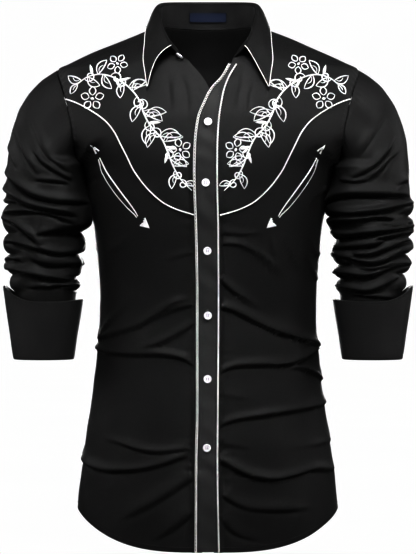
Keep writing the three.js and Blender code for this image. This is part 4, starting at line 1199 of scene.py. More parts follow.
def collar_leaf():
    base, top, roll, edge, outward = collar_lines(COLLAR_COLUMNS["leaf"])
    up = unit(top - base)
    under_roll = roll - outward * LEAF["in"] - np.array([0, 0, LEAF["down"]])
    lines = [top + up * LEAF["start"], under_roll, roll]
    # The leaf's front edge on the wearer's right bows away from the neck.
    near_end = np.maximum(1 - np.linspace(0, 1, len(roll)) / LEAF["bow_share"], 0)[:, None] ** 1.5
    for t in LEAF_ROWS:
        bulge = LEAF["bulge"] * math.sin(math.pi * math.sqrt(t))
        edge_bow = near_end * np.array(FRONT_EDGE_BOW) * math.sin(math.pi * t)
        lines.append(lerp(roll, edge, t) + outward * bulge + edge_bow)
    grid = smooth_path(np.stack(lines), LEAF["step"])
    out = outward + 0 * grid
    piece = cloth_wall("collar_leaf_cloth", grid, out, BLACK_SATIN, thickness=COLLAR_WALL)
    fix(piece, "black_satin", "collar_leaf")
    return grid


STAND_GRID = collar_stand()
LEAF_GRID = collar_leaf()

# ---- Neck label ---------------------------------------------------------------------------------
# A small woven label of navy damask lies on the inside of the stand at the centre back, sewn down
# at its two ends. It is left bare.
LABEL_HALF = 27.5
LABEL_RISE = (0.3, 0.66)
LABEL_COLUMNS = 14
LABEL_WALL = 0.8
LABEL_OUT = 3.4


def navy_damask():
    """Navy polyester damask, woven: matt and very dark blue, with a fine rib."""
    material, tree = new_material("navy_damask_label")
    place = object_place(tree)
    across = add_node(tree, "ShaderNodeSeparateXYZ", {0: place}).outputs[0]
    return surface(material, tree, {
        "Base Color": mixed(tree, noise(tree, place, 900), "#151b2b", "#1f2940"),
        "Roughness": 0.7,
        "Specular IOR Level": 0.25,
    }, height=threads(tree, across, 0.7), strength=0.3, distance=0.1)


def neck_label():
    """A rectangle by width and height, laid on the neck side of the stand."""
    x = np.linspace(-LABEL_HALF, LABEL_HALF, 25)
    middle = STAND_GRID.shape[1] // 2
    near = STAND_GRID[:, middle - LABEL_COLUMNS:middle + LABEL_COLUMNS + 1]
    rows = []
    for share in np.linspace(*LABEL_RISE, 9) * (len(near) - 1):
        row = lerp(near[int(share)], near[int(share) + 1], share - int(share))
        order = np.argsort(row[:, 0])
        rows.append(np.stack([np.interp(x, row[order, 0], row[order, i]) for i in range(3)], axis=-1))
    grid = np.stack(rows)
    inward = -unit(grid * [1, 1, 0])
    face = grid + inward * LABEL_OUT
    piece = cloth_wall("neck_label_cloth", face, inward, navy_damask(), thickness=LABEL_WALL)
    fix(piece, "label_navy", "neck_label")


neck_label()

# ---- Placket ------------------------------------------------------------------------------------
# The placket is a folded band of the satin, interlined and stitched on to the left front's edge. Its
# top end turns aside where the neck lies open.
PLACKET_TOP = -58
PLACKET_LIFT = LAY + WALL
PLACKET_INSET = 0.8
PLACKET_ROLL = 0.9
BUTTON_PULL = {"deep": 0.5, "reach": 9}
BUTTON_HEIGHTS = (-140, -223, -316, -405, -492, -586)


def placket_line(share, lift, z_from=FRONT_HEM + 1, z_to=PLACKET_TOP, count=220, beside=0.0):
    z = np.linspace(z_from, z_to, count)
    x = placket_x(z, share) + beside
    return body_cloth(front_angle(x, z), z, lift)


def placket():
    rows, columns = 250, 15
    z, share = np.meshgrid(
        np.linspace(FRONT_HEM + 1, PLACKET_TOP, rows), np.linspace(0, 1, columns), indexing="ij",
    )
    # Flat across, with slightly rolled edges and a shallow pull round each button.
    roll = PLACKET_ROLL * (np.abs(2 * share - 1) ** 10)
    pull = np.zeros_like(z)
    for button in BUTTON_HEIGHTS:
        near = np.exp(-((z - button) / BUTTON_PULL["reach"]) ** 2)
        pull += BUTTON_PULL["deep"] * near * np.cos(np.pi * (share - 0.5))
    across = placket_x(z, share) + PLACKET_INSET * (1 - 2 * share)
    angle = front_angle(across, z)
    # Slight puckers down the band, uneven in length and depth.
    ease = 0.7 * np.sin(z / 5.3 + across / 9 + 1.6 * np.sin(z / 31)) * np.sin(z / 29 + 1.1)
    ease = ease + 0.5 * np.sin((z + 1.4 * across) / 11 + 2 * np.sin(z / 47))
    grid = body_cloth(angle, z, PLACKET_LIFT - roll - pull + ease)
    # The band's colour is the lighter copy of the satin: painted sheen.
    piece = cloth_wall("placket_cloth", grid, body_normal(angle, z), SHEEN_PAINTED_SATIN)
    fix(piece, "black_satin", "placket")


placket()

# ---- Piping cords -------------------------------------------------------------------------------
# Three-strand twisted cotton cord, bleached white, is sewn down beside both edges of the placket,
# along the yoke seams and round the collar. It is whipped to the cloth, so it can't come away.
YOKE_CORD = 1.15
COLLAR_CORD = 0.8
EDGE_CORD = 0.8
PLACKET_CORD = {"left": 1.4, "right": 2.0}
CORD_OUT = 0.3
CORD_ON_EDGE = 0.6
HEART = 0.5
STEPS_IN_A_LAY = 9.0
# Both placket cords are laid more loosely than the others, and the one on the wearer's right has a dark
# strand along its middle, which darkens the gaps between its white strands.
OPEN_LAY = {
    "left": {"core": 0.6, "thick": 0.38, "lay": 8.4},
    "right": {"core": 0.69, "thick": 0.31, "lay": 6.6},
}


def white_cotton():
    """Bleached cotton yarn: warm white, dull and slightly hairy, so its strands part in soft lines."""
    material, tree = new_material("white_cotton_cord")
    place = object_place(tree)
    return surface(material, tree, {
        "Base Color": mixed(tree, noise(tree, place, 60), "#ebe9e6", "#f8f7f6"),
        "Roughness": 0.8,
        "Specular IOR Level": 0.2,
    }, height=noise(tree, place, 1500, Detail=2), strength=0.4, distance=0.15)


def tree_with(name, **sizes):
    """A Geometry Nodes tree that takes a path and named sizes; gives its group nodes."""
    tree = bpy.data.node_groups.new(name, "GeometryNodeTree")
    kinds = {int: "NodeSocketInt", float: "NodeSocketFloat"}
    tree.interface.new_socket("Path", in_out="INPUT", socket_type="NodeSocketGeometry")
    for size, value in sizes.items():
        kind = kinds.get(type(value), "NodeSocketMaterial")
        tree.interface.new_socket(size, in_out="INPUT", socket_type=kind)
    tree.interface.new_socket("Shape", in_out="OUTPUT", socket_type="NodeSocketGeometry")
    return tree, tree.nodes.new("NodeGroupInput").outputs


def twisted_cord_tree():
    tree, given = tree_with("twisted_cord", Strands=3, Core=1.0, Strand=1.0, Lay=1.0, Material=None)
    curve = add_node(tree, "GeometryNodeMeshToCurve", {0: given["Path"]}).outputs[0]
    step = maths(tree, "DIVIDE", given["Lay"], STEPS_IN_A_LAY)
    curve = add_node(tree, "GeometryNodeResampleCurve", {
        "Curve": curve, "Length": step,
    }, mode="LENGTH").outputs[0]
    many = add_node(tree, "GeometryNodeDuplicateElements", {
        "Geometry": curve, "Amount": given["Strands"],
    }, domain="SPLINE")
    along = add_node(tree, "GeometryNodeSplineParameter").outputs["Length"]
    laps = maths(tree, "DIVIDE", along, given["Lay"])
    part = maths(tree, "DIVIDE", many.outputs[1], given["Strands"])
    turn = maths(tree, "MULTIPLY", maths(tree, "ADD", laps, part), 2 * math.pi)
    normal = add_node(tree, "GeometryNodeInputNormal").outputs[0]
    tangent = add_node(tree, "GeometryNodeInputTangent").outputs[0]
    binormal = add_node(tree, "ShaderNodeVectorMath", {0: tangent, 1: normal}, operation="CROSS_PRODUCT")
    offsets = []
    for wave, way in (("COSINE", normal), ("SINE", binormal.outputs[0])):
        size = maths(tree, "MULTIPLY", maths(tree, wave, turn), given["Core"])
        offset = add_node(tree, "ShaderNodeVectorMath", {0: way, "Scale": size}, operation="SCALE")
        offsets.append(offset.outputs[0])
    offset = add_node(tree, "ShaderNodeVectorMath", dict(enumerate(offsets)), operation="ADD").outputs[0]
    strands = add_node(tree, "GeometryNodeSetPosition", {"Geometry": many.outputs[0], "Offset": offset})
    ring = add_node(tree, "GeometryNodeCurvePrimitiveCircle", {"Resolution": 6, "Radius": given["Strand"]})
    shape = add_node(tree, "GeometryNodeCurveToMesh", {
        "Curve": strands.outputs[0], "Profile Curve": ring.outputs[0], "Fill Caps": True,
    }).outputs[0]
    finish_tree(tree, shape, given["Material"])
    return tree


def finish_tree(tree, shape, material):
    shape = add_node(tree, "GeometryNodeSetShadeSmooth", {0: shape}).outputs[0]
    shape = add_node(tree, "GeometryNodeRealizeInstances", {0: shape}).outputs[0]
    shape = add_node(tree, "GeometryNodeSetMaterial", {0: shape, "Material": material}).outputs[0]
    add_node(tree, "NodeGroupOutput", {0: shape})


def grow(name, tree, lines, **sizes):
    """Runs a tree along lines of points, in millimetres, and keeps the result as a plain mesh."""
    points = np.concatenate(lines) * MM
    edges = []
    first = 0
    for line in lines:
        edges += [(first + i, first + i + 1) for i in range(len(line) - 1)]
        first += len(line)
    mesh = bpy.data.meshes.new(name)
    mesh.from_pydata(points.tolist(), edges, [])
    holder = new_object(name + "_path", mesh)
    modifier = holder.modifiers.new(tree.name, "NODES")
    modifier.node_group = tree
    for socket in tree.interface.items_tree:
        if socket.in_out == "INPUT" and socket.name in sizes:
            modifier[socket.identifier] = sizes[socket.name]
    seen = bpy.context.evaluated_depsgraph_get()
    made = bpy.data.meshes.new_from_object(holder.evaluated_get(seen), depsgraph=seen)
    made.name = name
    bpy.data.objects.remove(holder)
    return new_object(name, made)


WHITE_COTTON = white_cotton()
TWISTED_CORD = twisted_cord_tree()


def cord(node, line, radius, core=0.54, thick=0.47, lay=5.6):
    """A cord of three strands; core, thickness and lay are in its radii."""
    piece = grow(
        f"{node}_rope", TWISTED_CORD, [line], Strands=3, Core=core * radius * MM,
        Strand=thick * radius * MM, Lay=lay * radius * MM, Material=WHITE_COTTON,
    )
    return fix(piece, "white_cord", node)


def placket_cord(side):
    share = 1 if side == "left" else 0
    radius = PLACKET_CORD[side]
    line = placket_line(share, LAY + radius, beside=MIRROR[side] * CORD_OUT)
    cord(f"placket_cord_{side}", line, radius, **OPEN_LAY[side])
    if side == "right":
        heart = grow(
            "placket_cord_heart", TWISTED_CORD, [line], Strands=1, Core=0.0,
            Strand=HEART * radius * MM, Lay=OPEN_LAY[side]["lay"] * radius * MM, Material=BLACK_SATIN,
        )
        fix(heart, "black_satin")


YOKE_CORD_START = {"left": 16.4, "right": 19.3}
YOKE_CORD_END = 77.8


def yoke_cord(side):
    first = np.degrees(front_angle(YOKE_CORD_START[side], YOKE_CENTRE))
    angle = np.linspace(first, YOKE_CORD_END, 110)
    line = body_cloth(np.radians(MIRROR[side] * angle), yoke_seam_height(angle), YOKE_CORD)
    cord(f"yoke_cord_{side}", line, YOKE_CORD)


def collar_cord(node, edge, inside, radius):
    tangent = unit(np.gradient(edge, axis=0))
    away = edge - inside
    away = unit(away - tangent * (away * tangent).sum(-1, keepdims=True))
    cord(node, edge + away * (radius * CORD_ON_EDGE), radius)


for side in MIRROR:
    placket_cord(side)
    yoke_cord(side)
collar_cord("collar_piping_outer", LEAF_GRID[-1], LEAF_GRID[-2], EDGE_CORD)
front_rows = LEAF_GRID[4:]
collar_cord("collar_piping_right", front_rows[:, 0], front_rows[:, 1], COLLAR_CORD)
collar_cord("collar_piping_left", front_rows[:, -1], front_rows[:, -2], COLLAR_CORD)

# ---- Stitching ----------------------------------------------------------------------------------
# Black polyester lockstitch holds the hems, the back yoke, the armholes, the cuffs, the collar and
# the placket. Each row is drawn on its own cloth at about four stitches to the centimetre.
STITCH = {"pitch": 2.7, "length": 2.0, "thickness": 0.55}
STITCH_LIFT = 0.1
# Distances of the rows from the edge or seam that they follow; the cuffs' are shares of the face.
ROW_IN = {"hem": 7, "armhole": 6, "back_yoke": 4, "placket": 5}
CUFF_ROW_SHARES = (0.125, 0.95)
BESIDE_PLACKET = 4


def black_thread():
    """Black polyester thread, spun: a little glossier than the satin, so a row shows as fine beads."""
    material, tree = new_material("black_polyester_thread")
    grain = noise(tree, object_place(tree), 1800)
    return surface(material, tree, {
        "Base Color": mixed(tree, grain, "#1d1d1f", "#2b2b2e"),
        "Roughness": 0.42,
        "Specular IOR Level": 0.4,
    }, height=grain, strength=0.3, distance=0.1)


def stitch_tree():
    tree, given = tree_with("lockstitch", Pitch=1.0, Length=1.0, Thickness=1.0, Material=None)
    curve = add_node(tree, "GeometryNodeMeshToCurve", {0: given["Path"]}).outputs[0]
    points = add_node(tree, "GeometryNodeCurveToPoints", {
        "Curve": curve, "Length": given["Pitch"],
    }, mode="LENGTH").outputs
    along = add_node(tree, "FunctionNodeAlignRotationToVector", {"Vector": points["Tangent"]}, axis="Z")
    bead = add_node(tree, "GeometryNodeMeshUVSphere", {"Segments": 6, "Rings": 4, "Radius": 0.5})
    size = add_node(tree, "ShaderNodeCombineXYZ", {
        0: given["Thickness"], 1: given["Thickness"], 2: given["Length"],
    })
    stitches = add_node(tree, "GeometryNodeInstanceOnPoints", {
        "Points": points["Points"], "Instance": bead.outputs[0],
        "Rotation": along.outputs[0], "Scale": size.outputs[0],
    })
    finish_tree(tree, stitches.outputs[0], given["Material"])
    return tree


BLACK_THREAD = black_thread()
LOCKSTITCH = stitch_tree()


def stitch(name, lines):
    piece = grow(
        f"{name}_stitches", LOCKSTITCH, lines, Pitch=STITCH["pitch"] * MM,
        Length=STITCH["length"] * MM, Thickness=STITCH["thickness"] * MM, Material=BLACK_THREAD,
    )
    return fix(piece, "black_satin")


def hem_line(face, above):
    lowest = BACK_HEM if face == "back" else FRONT_HEM
    turn = np.linspace(-89, 89, 260)
    z = tail_height(turn, lowest) + above
    angle = np.radians(turn if face == "front" else 180 - turn)
    line = body_cloth(angle, z, STITCH_LIFT)
    if face == "back":
        return [line]
    low, high = placket_x(FRONT_HEM, 0), placket_x(FRONT_HEM, 1)
    return [line[line[:, 0] < low - BESIDE_PLACKET], line[line[:, 0] > high + BESIDE_PLACKET]]


def armhole_line(side, face, inside):
    step = np.linspace(0.3, LAST_STEP - 0.4, 110)
    angle, z = armhole_seam(step, face)
    way = -1 if face == "front" else 1
    angle = angle + way * inside / read(sections, "z", "half", z)
    return body_cloth(MIRROR[side] * angle, z, STITCH_LIFT)


def cuff_line(side, share):
    turn = np.linspace(0, 2 * np.pi, 150)
    line = cuff_point(turn, np.full_like(turn, share))
    line = line + np.stack([np.cos(turn), -np.sin(turn), 0 * turn], axis=-1) * STITCH_LIFT
    return line * [MIRROR[side], 1, 1]


stitch("hem", hem_line("front", ROW_IN["hem"]) + hem_line("back", ROW_IN["hem"]))
stitch("armhole", [
    armhole_line(side, face, ROW_IN["armhole"]) for side in MIRROR for face in ("front", "back")
])
stitch("cuff", [cuff_line(side, share) for side in MIRROR for share in CUFF_ROW_SHARES])
seam_turn = np.linspace(-69, 69, 150)
seam_angle = np.radians(180 - seam_turn)
seam_height = back_yoke_height(seam_turn) + ROW_IN["back_yoke"]
stitch("back_yoke", [body_cloth(seam_angle, seam_height, STITCH_LIFT)])
stitch("placket", [
    placket_line(edge, PLACKET_LIFT + STITCH_LIFT, beside=ROW_IN["placket"] * way)
    for edge, way in ((0, 1), (1, -1))
])
leaf_out = grid_normals(LEAF_GRID)
leaf_out *= np.sign((leaf_out * LEAF_GRID * [1, 1, 0]).sum(-1).mean())
leaf_face = LEAF_GRID + leaf_out * STITCH_LIFT
stand_row = STAND_GRID[2]
stand_in = stand_row - unit(stand_row * [1, 1, 0]) * (STAND_IN + STITCH_LIFT)
stitch("collar", [leaf_face[-3, 3:-3], leaf_face[8:-2, 3], leaf_face[8:-2, -4], stand_in])

# ---- Satin-stitch bands -------------------------------------------------------------------------
# White rayon satin stitch covers the pocket edges, the pocket arrows and the chest scrolls. It lies
# on the cloth as low rounded bands whose threads run across them.
BAND_STEP = 1.2
BAND_COLUMNS = 5
BAND_SINK = 0.35
CROWN = {"pocket_edge": 1.1, "arrow": 1.2, "scroll": 0.9, "buttonhole": 0.45}


def rayon_satin():
    """White rayon embroidery thread, laid side by side: bright and lustrous, its colour painted darker in
    the fine gaps between threads as painted shade. The threads lie 0.4 mm apart and are drawn 0.7 mm apart,
    so that they show."""
    material, tree = new_material("white_rayon_satin_stitch")
    uv = add_node(tree, "ShaderNodeUVMap", uv_map="thread").outputs[0]
    parts = add_node(tree, "ShaderNodeSeparateXYZ", {0: uv}).outputs
    # The threads slant a little across the band.
    wave = threads(tree, maths(tree, "MULTIPLY_ADD", parts[0], 0.35, parts[1]), 0.7)
    # The colour follows the thread waves and is darker in the grooves between threads: painted shade.
    share = add_node(tree, "ShaderNodeMapRange", {"Value": wave, "From Min": -1, "From Max": 0.2}).outputs[0]
    return surface(material, tree, {
        "Base Color": mixed(tree, share, "#d9d8d8", "#f8f8f9"),
        "Roughness": 0.45,
        "Specular IOR Level": 0.4,
        "Sheen Weight": 0.1,
    }, height=wave, strength=0.5, distance=0.15)


RAYON_SATIN = rayon_satin()


def satin_bands(name, bands, side, crown, material=RAYON_SATIN, lift=0.0):
    """Closed bands laid on the front; each is a line of x and z with a width at every point."""
    share = np.linspace(-1, 1, BAND_COLUMNS)
    rings = []
    for line, width in bands:
        along = unit(np.gradient(line, axis=0))
        across = np.stack([-along[:, 1], along[:, 0]], axis=-1)
        rings.append(line[:, None] + across[:, None] * share[None, :, None] * width[:, None, None] / 2)
    flat = np.concatenate(rings)
    height = -BAND_SINK + (crown + BAND_SINK) * np.sqrt(1 - share ** 2) + lift + 0 * flat[..., 0]
    points = body_cloth(front_angle(MIRROR[side] * flat[..., 0], flat[..., 1]), flat[..., 1], height)
    faces = []
    uv = []
    first = 0
    for line, width in bands:
        rows = len(line)
        r, c = np.meshgrid(np.arange(rows - 1), np.arange(BAND_COLUMNS), indexing="ij")
        at = first + r * BAND_COLUMNS
        right = (c + 1) % BAND_COLUMNS
        quads = np.stack([at + c, at + right, at + BAND_COLUMNS + right, at + BAND_COLUMNS + c], axis=-1)
        faces += quads.reshape(-1, 4).tolist()
        last = first + (rows - 1) * BAND_COLUMNS
        faces.append([first + i for i in reversed(range(BAND_COLUMNS))])
        faces.append([last + i for i in range(BAND_COLUMNS)])
        length = np.concatenate([[0], np.cumsum(np.linalg.norm(np.diff(line, axis=0), axis=1))])
        uv.append(np.stack([share * width[:, None] / 2, length[:, None] + 0 * share], axis=-1))
        first += rows * BAND_COLUMNS
    mesh = bpy.data.meshes.new(name)
    mesh.from_pydata((points.reshape(-1, 3) * MM).tolist(), [], faces)
    shape = bmesh.new()
    shape.from_mesh(mesh)
    bmesh.ops.recalc_face_normals(shape, faces=shape.faces)
    shape.to_mesh(mesh)
    shape.free()
    lay_uv(mesh, "thread", np.concatenate(uv).reshape(-1, 2) * MM)
    mesh.shade_smooth()
    mesh.materials.append(material)
    return new_object(name, mesh)


def even(points):
    """The line through points, with a point about every BAND_STEP."""
    return smooth_path(points, BAND_STEP)


def tapered(points, width, ends=0.4, fullness=0.6):
    """A band that narrows to a share of its width at its ends."""
    line = even(points)
    share = np.linspace(0, 1, len(line))
    return line, width * (ends + (1 - ends) * np.sin(np.pi * share) ** fullness)


# ---- Pockets ------------------------------------------------------------------------------------
# Each front has a curved "smile" pocket: a narrow black welt between two white satin edges, drawn
# together at both ends into an embroidered arrow.
pocket_line = table("z x gap", [
    (-186, 151.8, 0),
    (-206, 143.5, 4.0),
    (-231, 127.5, 5.6),
    (-252, 111, 4.4),
    (-268.5, 97, 0),
])
POCKET_SLOPE = (0.62, 0.78)
POCKET_EDGE = 2.2
ARROW_OVERLAP = 1.15
WELT = {"inset": 12, "thickness": 0.9, "lift": 1.2}
# Tip and barbs of each arrow in x and z, the bands its head has, and where its back edge is notched.
ARROWS = {
    "top": {"tip": (161, -169), "barbs": ((155, -184), (148.5, -178.5)), "bands": 3, "notch": 0.62},
    "bottom": {"tip": (80, -285), "barbs": ((94, -282), (86.5, -269.5)), "bands": 5, "notch": 0.86},
}


def spreading(points, width, tip=0.15):
    """A band that widens evenly from its first point."""
    line = even(points)
    return line, width * (tip + (1 - tip) * np.linspace(0, 1, len(line)))


def pocket_edge(way, inset, half_at):
    z = np.linspace(pocket_line["z"][-1] + inset, pocket_line["z"][0] - inset, 80)
    half = way * half_at(read(pocket_line, "z", "gap", z))
    x = read(pocket_line, "z", "x", z) - half * POCKET_SLOPE[0]
    return np.stack([x, z + half * POCKET_SLOPE[1]], axis=-1)


def pocket(side):
    for way, place in ((1, "upper"), (-1, "lower")):
        line = pocket_edge(way, -1, lambda gap: gap / 2 + POCKET_EDGE / 2)
        name = f"pocket_piping_{place}_{side}"
        edge = tapered(line[::4], POCKET_EDGE, 0.7)
        piece = satin_bands(f"{name}_satin", [edge], side, CROWN["pocket_edge"])
        fix(piece, "white_cord", name)
    edges = [pocket_edge(way, WELT["inset"], lambda gap: np.maximum(gap / 2, 0.4)) for way in (1, -1)]
    flat = lerp(edges[0][:, None], edges[1][:, None], np.linspace(0, 1, 5)[None, :, None])
    angle = front_angle(MIRROR[side] * flat[..., 0], flat[..., 1])
    grid = body_cloth(angle, flat[..., 1], WELT["lift"])
    welt = cloth_wall(
        f"pocket_welt_{side}_cloth", grid, body_normal(angle, flat[..., 1]), BLACK_SATIN,
        thickness=WELT["thickness"],
    )
    fix(welt, "black_satin", f"pocket_welt_{side}")
    for end, arrow in ARROWS.items():
        tip = np.array(arrow["tip"], float)
        barbs = [np.array(barb, float) for barb in arrow["barbs"]]
        # A straight barbed head: bands fan from the tip to a back edge that is notched in the middle.
        count = arrow["bands"]
        width = ARROW_OVERLAP * np.linalg.norm(barbs[1] - barbs[0]) / count
        bands = []
        for share in (np.arange(count) + 0.5) / count:
            reach = lerp(arrow["notch"], 1, abs(2 * share - 1) ** 0.7)
            bands.append(spreading([tip, lerp(tip, lerp(barbs[0], barbs[1], share), reach)], width, 0.08))
        name = f"pocket_arrow_{end}_{side}"
        piece = satin_bands(f"{name}_satin", bands, side, CROWN["arrow"])
        fix(piece, "white_cord", name)


for side in MIRROR:
    pocket(side)

# ---- Chest embroidery ---------------------------------------------------------------------------
# A scroll of white satin stitch runs from each shoulder down to the placket: one waving stem with
# pointed leaves, curling tendrils, buds and open flowers, worked by machine on the yoke.
STEM = [
    (184, -84), (168, -73), (148, -70), (127, -77), (108, -91), (95, -108), (88, -128),
    (78, -146), (64, -162), (55, -181), (48, -200), (37, -219), (22, -234),
]
LINE_WIDTH = 2.5
CURL_TIGHTENS = 0.74
# Shares of a flower's size: its eye, and where its petals start and how far they stand out.
FLOWER = {"eye": 0.32, "eye_width": 0.3, "root": 0.28, "petal": 0.27}


def turned(angle, length=1.0):
    return np.array([math.cos(math.radians(angle)), math.sin(math.radians(angle))]) * length


def bent(start, end, bulge):
    """Points of a bow from start to end, standing out sideways by bulge."""
    share = np.linspace(0, 1, 7)[:, None]
    way = unit(np.array([start[1] - end[1], end[0] - start[0]]))
    return lerp(np.array(start), np.array(end), share) + way * bulge * np.sin(np.pi * share) ** 0.8


def leaf_bands(base, angle, length, width, bend=0.0):
    """Outlined pointed leaf with a short vein."""
    tip = base + turned(angle, length)
    return [
        tapered(bent(base, tip, width / 2 + bend), LINE_WIDTH, 0.45),
        tapered(bent(base, tip, -width / 2 + bend), LINE_WIDTH * 0.85, 0.45),
        tapered(bent(lerp(base, tip, 0.15), lerp(base, tip, 0.62), bend), LINE_WIDTH * 0.7, 0.3),
    ]


def bud_bands(base, angle, length, width):
    line = [base, base + turned(angle, length / 2), base + turned(angle, length)]
    return [tapered(line, width, 0.15, 0.9)]


def curl_bands(start, angle, radius, way, turns=1.15):
    """Tendril that winds inwards from its root."""
    share = np.linspace(0, 1, 22)
    first = math.radians(angle - 90 * way)
    reach = radius * (1 - CURL_TIGHTENS * share)
    turn = first + way * share * turns * 2 * math.pi
    ring = np.stack([reach * np.cos(turn), reach * np.sin(turn)], axis=-1)
    centre = start - radius * np.array([math.cos(first), math.sin(first)])
    return [tapered(centre + ring, LINE_WIDTH, 0.5)]


def flower_bands(centre, angle, size, petals=5):
    """Open flower: outlined petals round a filled eye."""
    centre = np.array(centre, float)
    eye = size * FLOWER["eye"]
    bands = bud_bands(centre - turned(angle, eye / 2), angle, eye, size * FLOWER["eye_width"])
    for number in range(petals):
        way = angle + number * 360 / petals
        root = centre + turned(way, size * FLOWER["root"])
        tip = centre + turned(way, size)
        for bulge in (size * FLOWER["petal"], -size * FLOWER["petal"]):
            bands.append(tapered(bent(root, tip, bulge), LINE_WIDTH * 0.9, 0.5))
    return bands


def stem_place(line, share):
    """Point on the stem at a share of its length, and the stem's direction there in degrees."""
    at = int(share * (len(line) - 1))
    way = line[min(at + 2, len(line) - 1)] - line[max(at - 2, 0)]
    return line[at], math.degrees(math.atan2(way[1], way[0]))


# Leaves: share along the stem, lean from its direction, length, width and bend.
STEM_LEAVES = [
    (0.01, 165, 17, 8, 1), (0.04, -120, 22, 10, -3), (0.08, 58, 22, 10, 3), (0.14, -58, 24, 10, -3),
    (0.17, 50, 24, 10, 3), (0.29, 64, 22, 10, 2), (0.33, -52, 27, 11, -3), (0.36, -84, 24, 10, -4),
    (0.45, 44, 27, 11, 3), (0.49, -44, 30, 12, -4), (0.52, -76, 30, 12, -4), (0.58, 46, 27, 11, 3),
    (0.63, 76, 24, 10, 4), (0.65, -46, 30, 12, -4), (0.69, -74, 28, 11, -4), (0.79, -44, 26, 11, -3),
    (0.83, -72, 22, 9, -3), (0.88, 50, 22, 9, 3), (0.95, -36, 17, 7, -2),
]
# Tendrils: share, lean, radius and the way that they wind.
STEM_CURLS = [
    (0.06, 100, 8, -1), (0.21, -92, 8.5, 1), (0.25, 92, 8, -1), (0.40, 100, 9, -1), (0.42, -96, 8.5, 1),
    (0.55, 90, 8.5, -1), (0.60, -88, 8, 1), (0.74, -88, 7.5, 1), (0.86, 84, 7, -1), (0.92, -70, 6.5, 1),
]
STEM_BUDS = [
    (0.11, -92, 16, 5.4), (0.24, 40, 15, 5), (0.27, -46, 15, 5), (0.56, -60, 17, 5.6),
    (0.72, -50, 15, 5), (0.76, 40, 15, 5),
]
# Flowers: middle in x and z, angle of the first petal and size.
FLOWERS = [(161, -104, 20, 17), (126, -55, 50, 15), (38, -178, 75, 16)]


def chest_scroll(side):
    line = even(STEM)
    bands = [tapered(STEM, LINE_WIDTH * 1.15, 0.4, 0.3)]
    for share, lean, length, width, bend in STEM_LEAVES:
        place, way = stem_place(line, share)
        bands += leaf_bands(place, way + lean, length, width, bend)
    for share, lean, radius, way in STEM_CURLS:
        place, heading = stem_place(line, share)
        bands += curl_bands(place, heading + lean, radius, way)
    for share, lean, length, width in STEM_BUDS:
        place, way = stem_place(line, share)
        bands += bud_bands(place, way + lean, length, width)
    for x, z, angle, size in FLOWERS:
        bands += flower_bands((x, z), angle, size)
    piece = satin_bands(f"chest_scroll_{side}_satin", bands, side, CROWN["scroll"])
    fix(piece, "white_thread")


for side in MIRROR:
    chest_scroll(side)

# ---- Buttons ------------------------------------------------------------------------------------
# Six pearly white four-hole shirt buttons close the placket and one sits on the collar stand. Each
# is a dished, polished polyester disc, sewn on with two bars of mauve-grey thread.
BUTTON_RADIUS = 6.1
BUTTON_SIDES = 40
COLLAR_BUTTON = {"radius": 6.2, "up": 0.5}
# Half section of the button: distance from its axis and height.
BUTTON_SECTION = [
    (0, 0), (5.0, 0), (5.7, 0.35), (6.1, 1.0), (6.0, 1.7), (5.5, 2.25), (4.9, 2.4), (4.35, 2.2),
    (3.95, 1.8), (3.2, 1.65), (0, 1.62),
]
HOLE = {"out": 1.3, "radius": 0.72, "sides": 12}
DISC_SCALE = 0.93
# Thread bars: half width of a bar, radius of a strand, and its heights from the hole to the top.
BAR = {"spread": 0.34, "radius": 0.2, "low": 0.8, "edge": 1.9, "top": 2.35}


def pearly_polyester():
    """Cast polyester with pearl pigment, polished: milky white, with a soft clouded sheen."""
    material, tree = new_material("pearly_polyester_button")
    cloud = noise(tree, object_place(tree), 350, Distortion=1.5)
    return surface(material, tree, {
        "Base Color": mixed(tree, cloud, "#e9e6ea", "#fbf9fa"),
        "Roughness": 0.25,
        "IOR": 1.5,
        "Coat Weight": 0.3,
        "Coat Roughness": 0.15,
    }, height=cloud, strength=0.05, distance=0.2)


def mauve_thread():
    """Mauve-grey polyester sewing thread, spun and dull, which stands out from the white button."""
    material, tree = new_material("mauve_grey_polyester_thread")
    grain = noise(tree, object_place(tree), 2500)
    return surface(material, tree, {
        "Base Color": mixed(tree, grain, "#968d9f", "#b5adbb"),
        "Roughness": 0.65,
    })


def mesh_of(name, shape):
    mesh = bpy.data.meshes.new(name)
    shape.to_mesh(mesh)
    shape.free()
    return mesh


def lathe(name, section, sides):
    """Closed turned shape about the z axis, in millimetres."""
    shape = bmesh.new()
    rings = []
    for radius, height in section:
        if radius == 0:
            rings.append([shape.verts.new((0, 0, height))] * sides)
            continue
        turns = [2 * math.pi * i / sides for i in range(sides)]
        rings.append([shape.verts.new((radius * math.cos(t), radius * math.sin(t), height)) for t in turns])
    for low, high in zip(rings, rings[1:]):
        for i in range(sides):
            j = (i + 1) % sides
            corners = [low[i], low[j], high[j], high[i]]
            shape.faces.new(list(dict.fromkeys(corners)))
    bmesh.ops.recalc_face_normals(shape, faces=shape.faces)
    return mesh_of(name, shape)


def button_blank():
    """Disc with its four holes cut."""
    disc = new_object("button_disc", lathe("button_disc", BUTTON_SECTION, BUTTON_SIDES))
    drills = []
    for x in (-1, 1):
        for y in (-1, 1):
            bit = lathe("drill", [(0, -1), (HOLE["radius"], -1), (HOLE["radius"], 4), (0, 4)], HOLE["sides"])
            bit.transform(mathutils.Matrix.Translation((x * HOLE["out"], y * HOLE["out"], 0)))
            drill = new_object("drill", bit)
            cut = disc.modifiers.new("hole", "BOOLEAN")
            cut.operation = "DIFFERENCE"
            cut.object = drill
            drills.append(drill)
    seen = bpy.context.evaluated_depsgraph_get()
    blank = bpy.data.meshes.new_from_object(disc.evaluated_get(seen), depsgraph=seen)
    for spent in drills + [disc]:
        bpy.data.objects.remove(spent)
    return blank


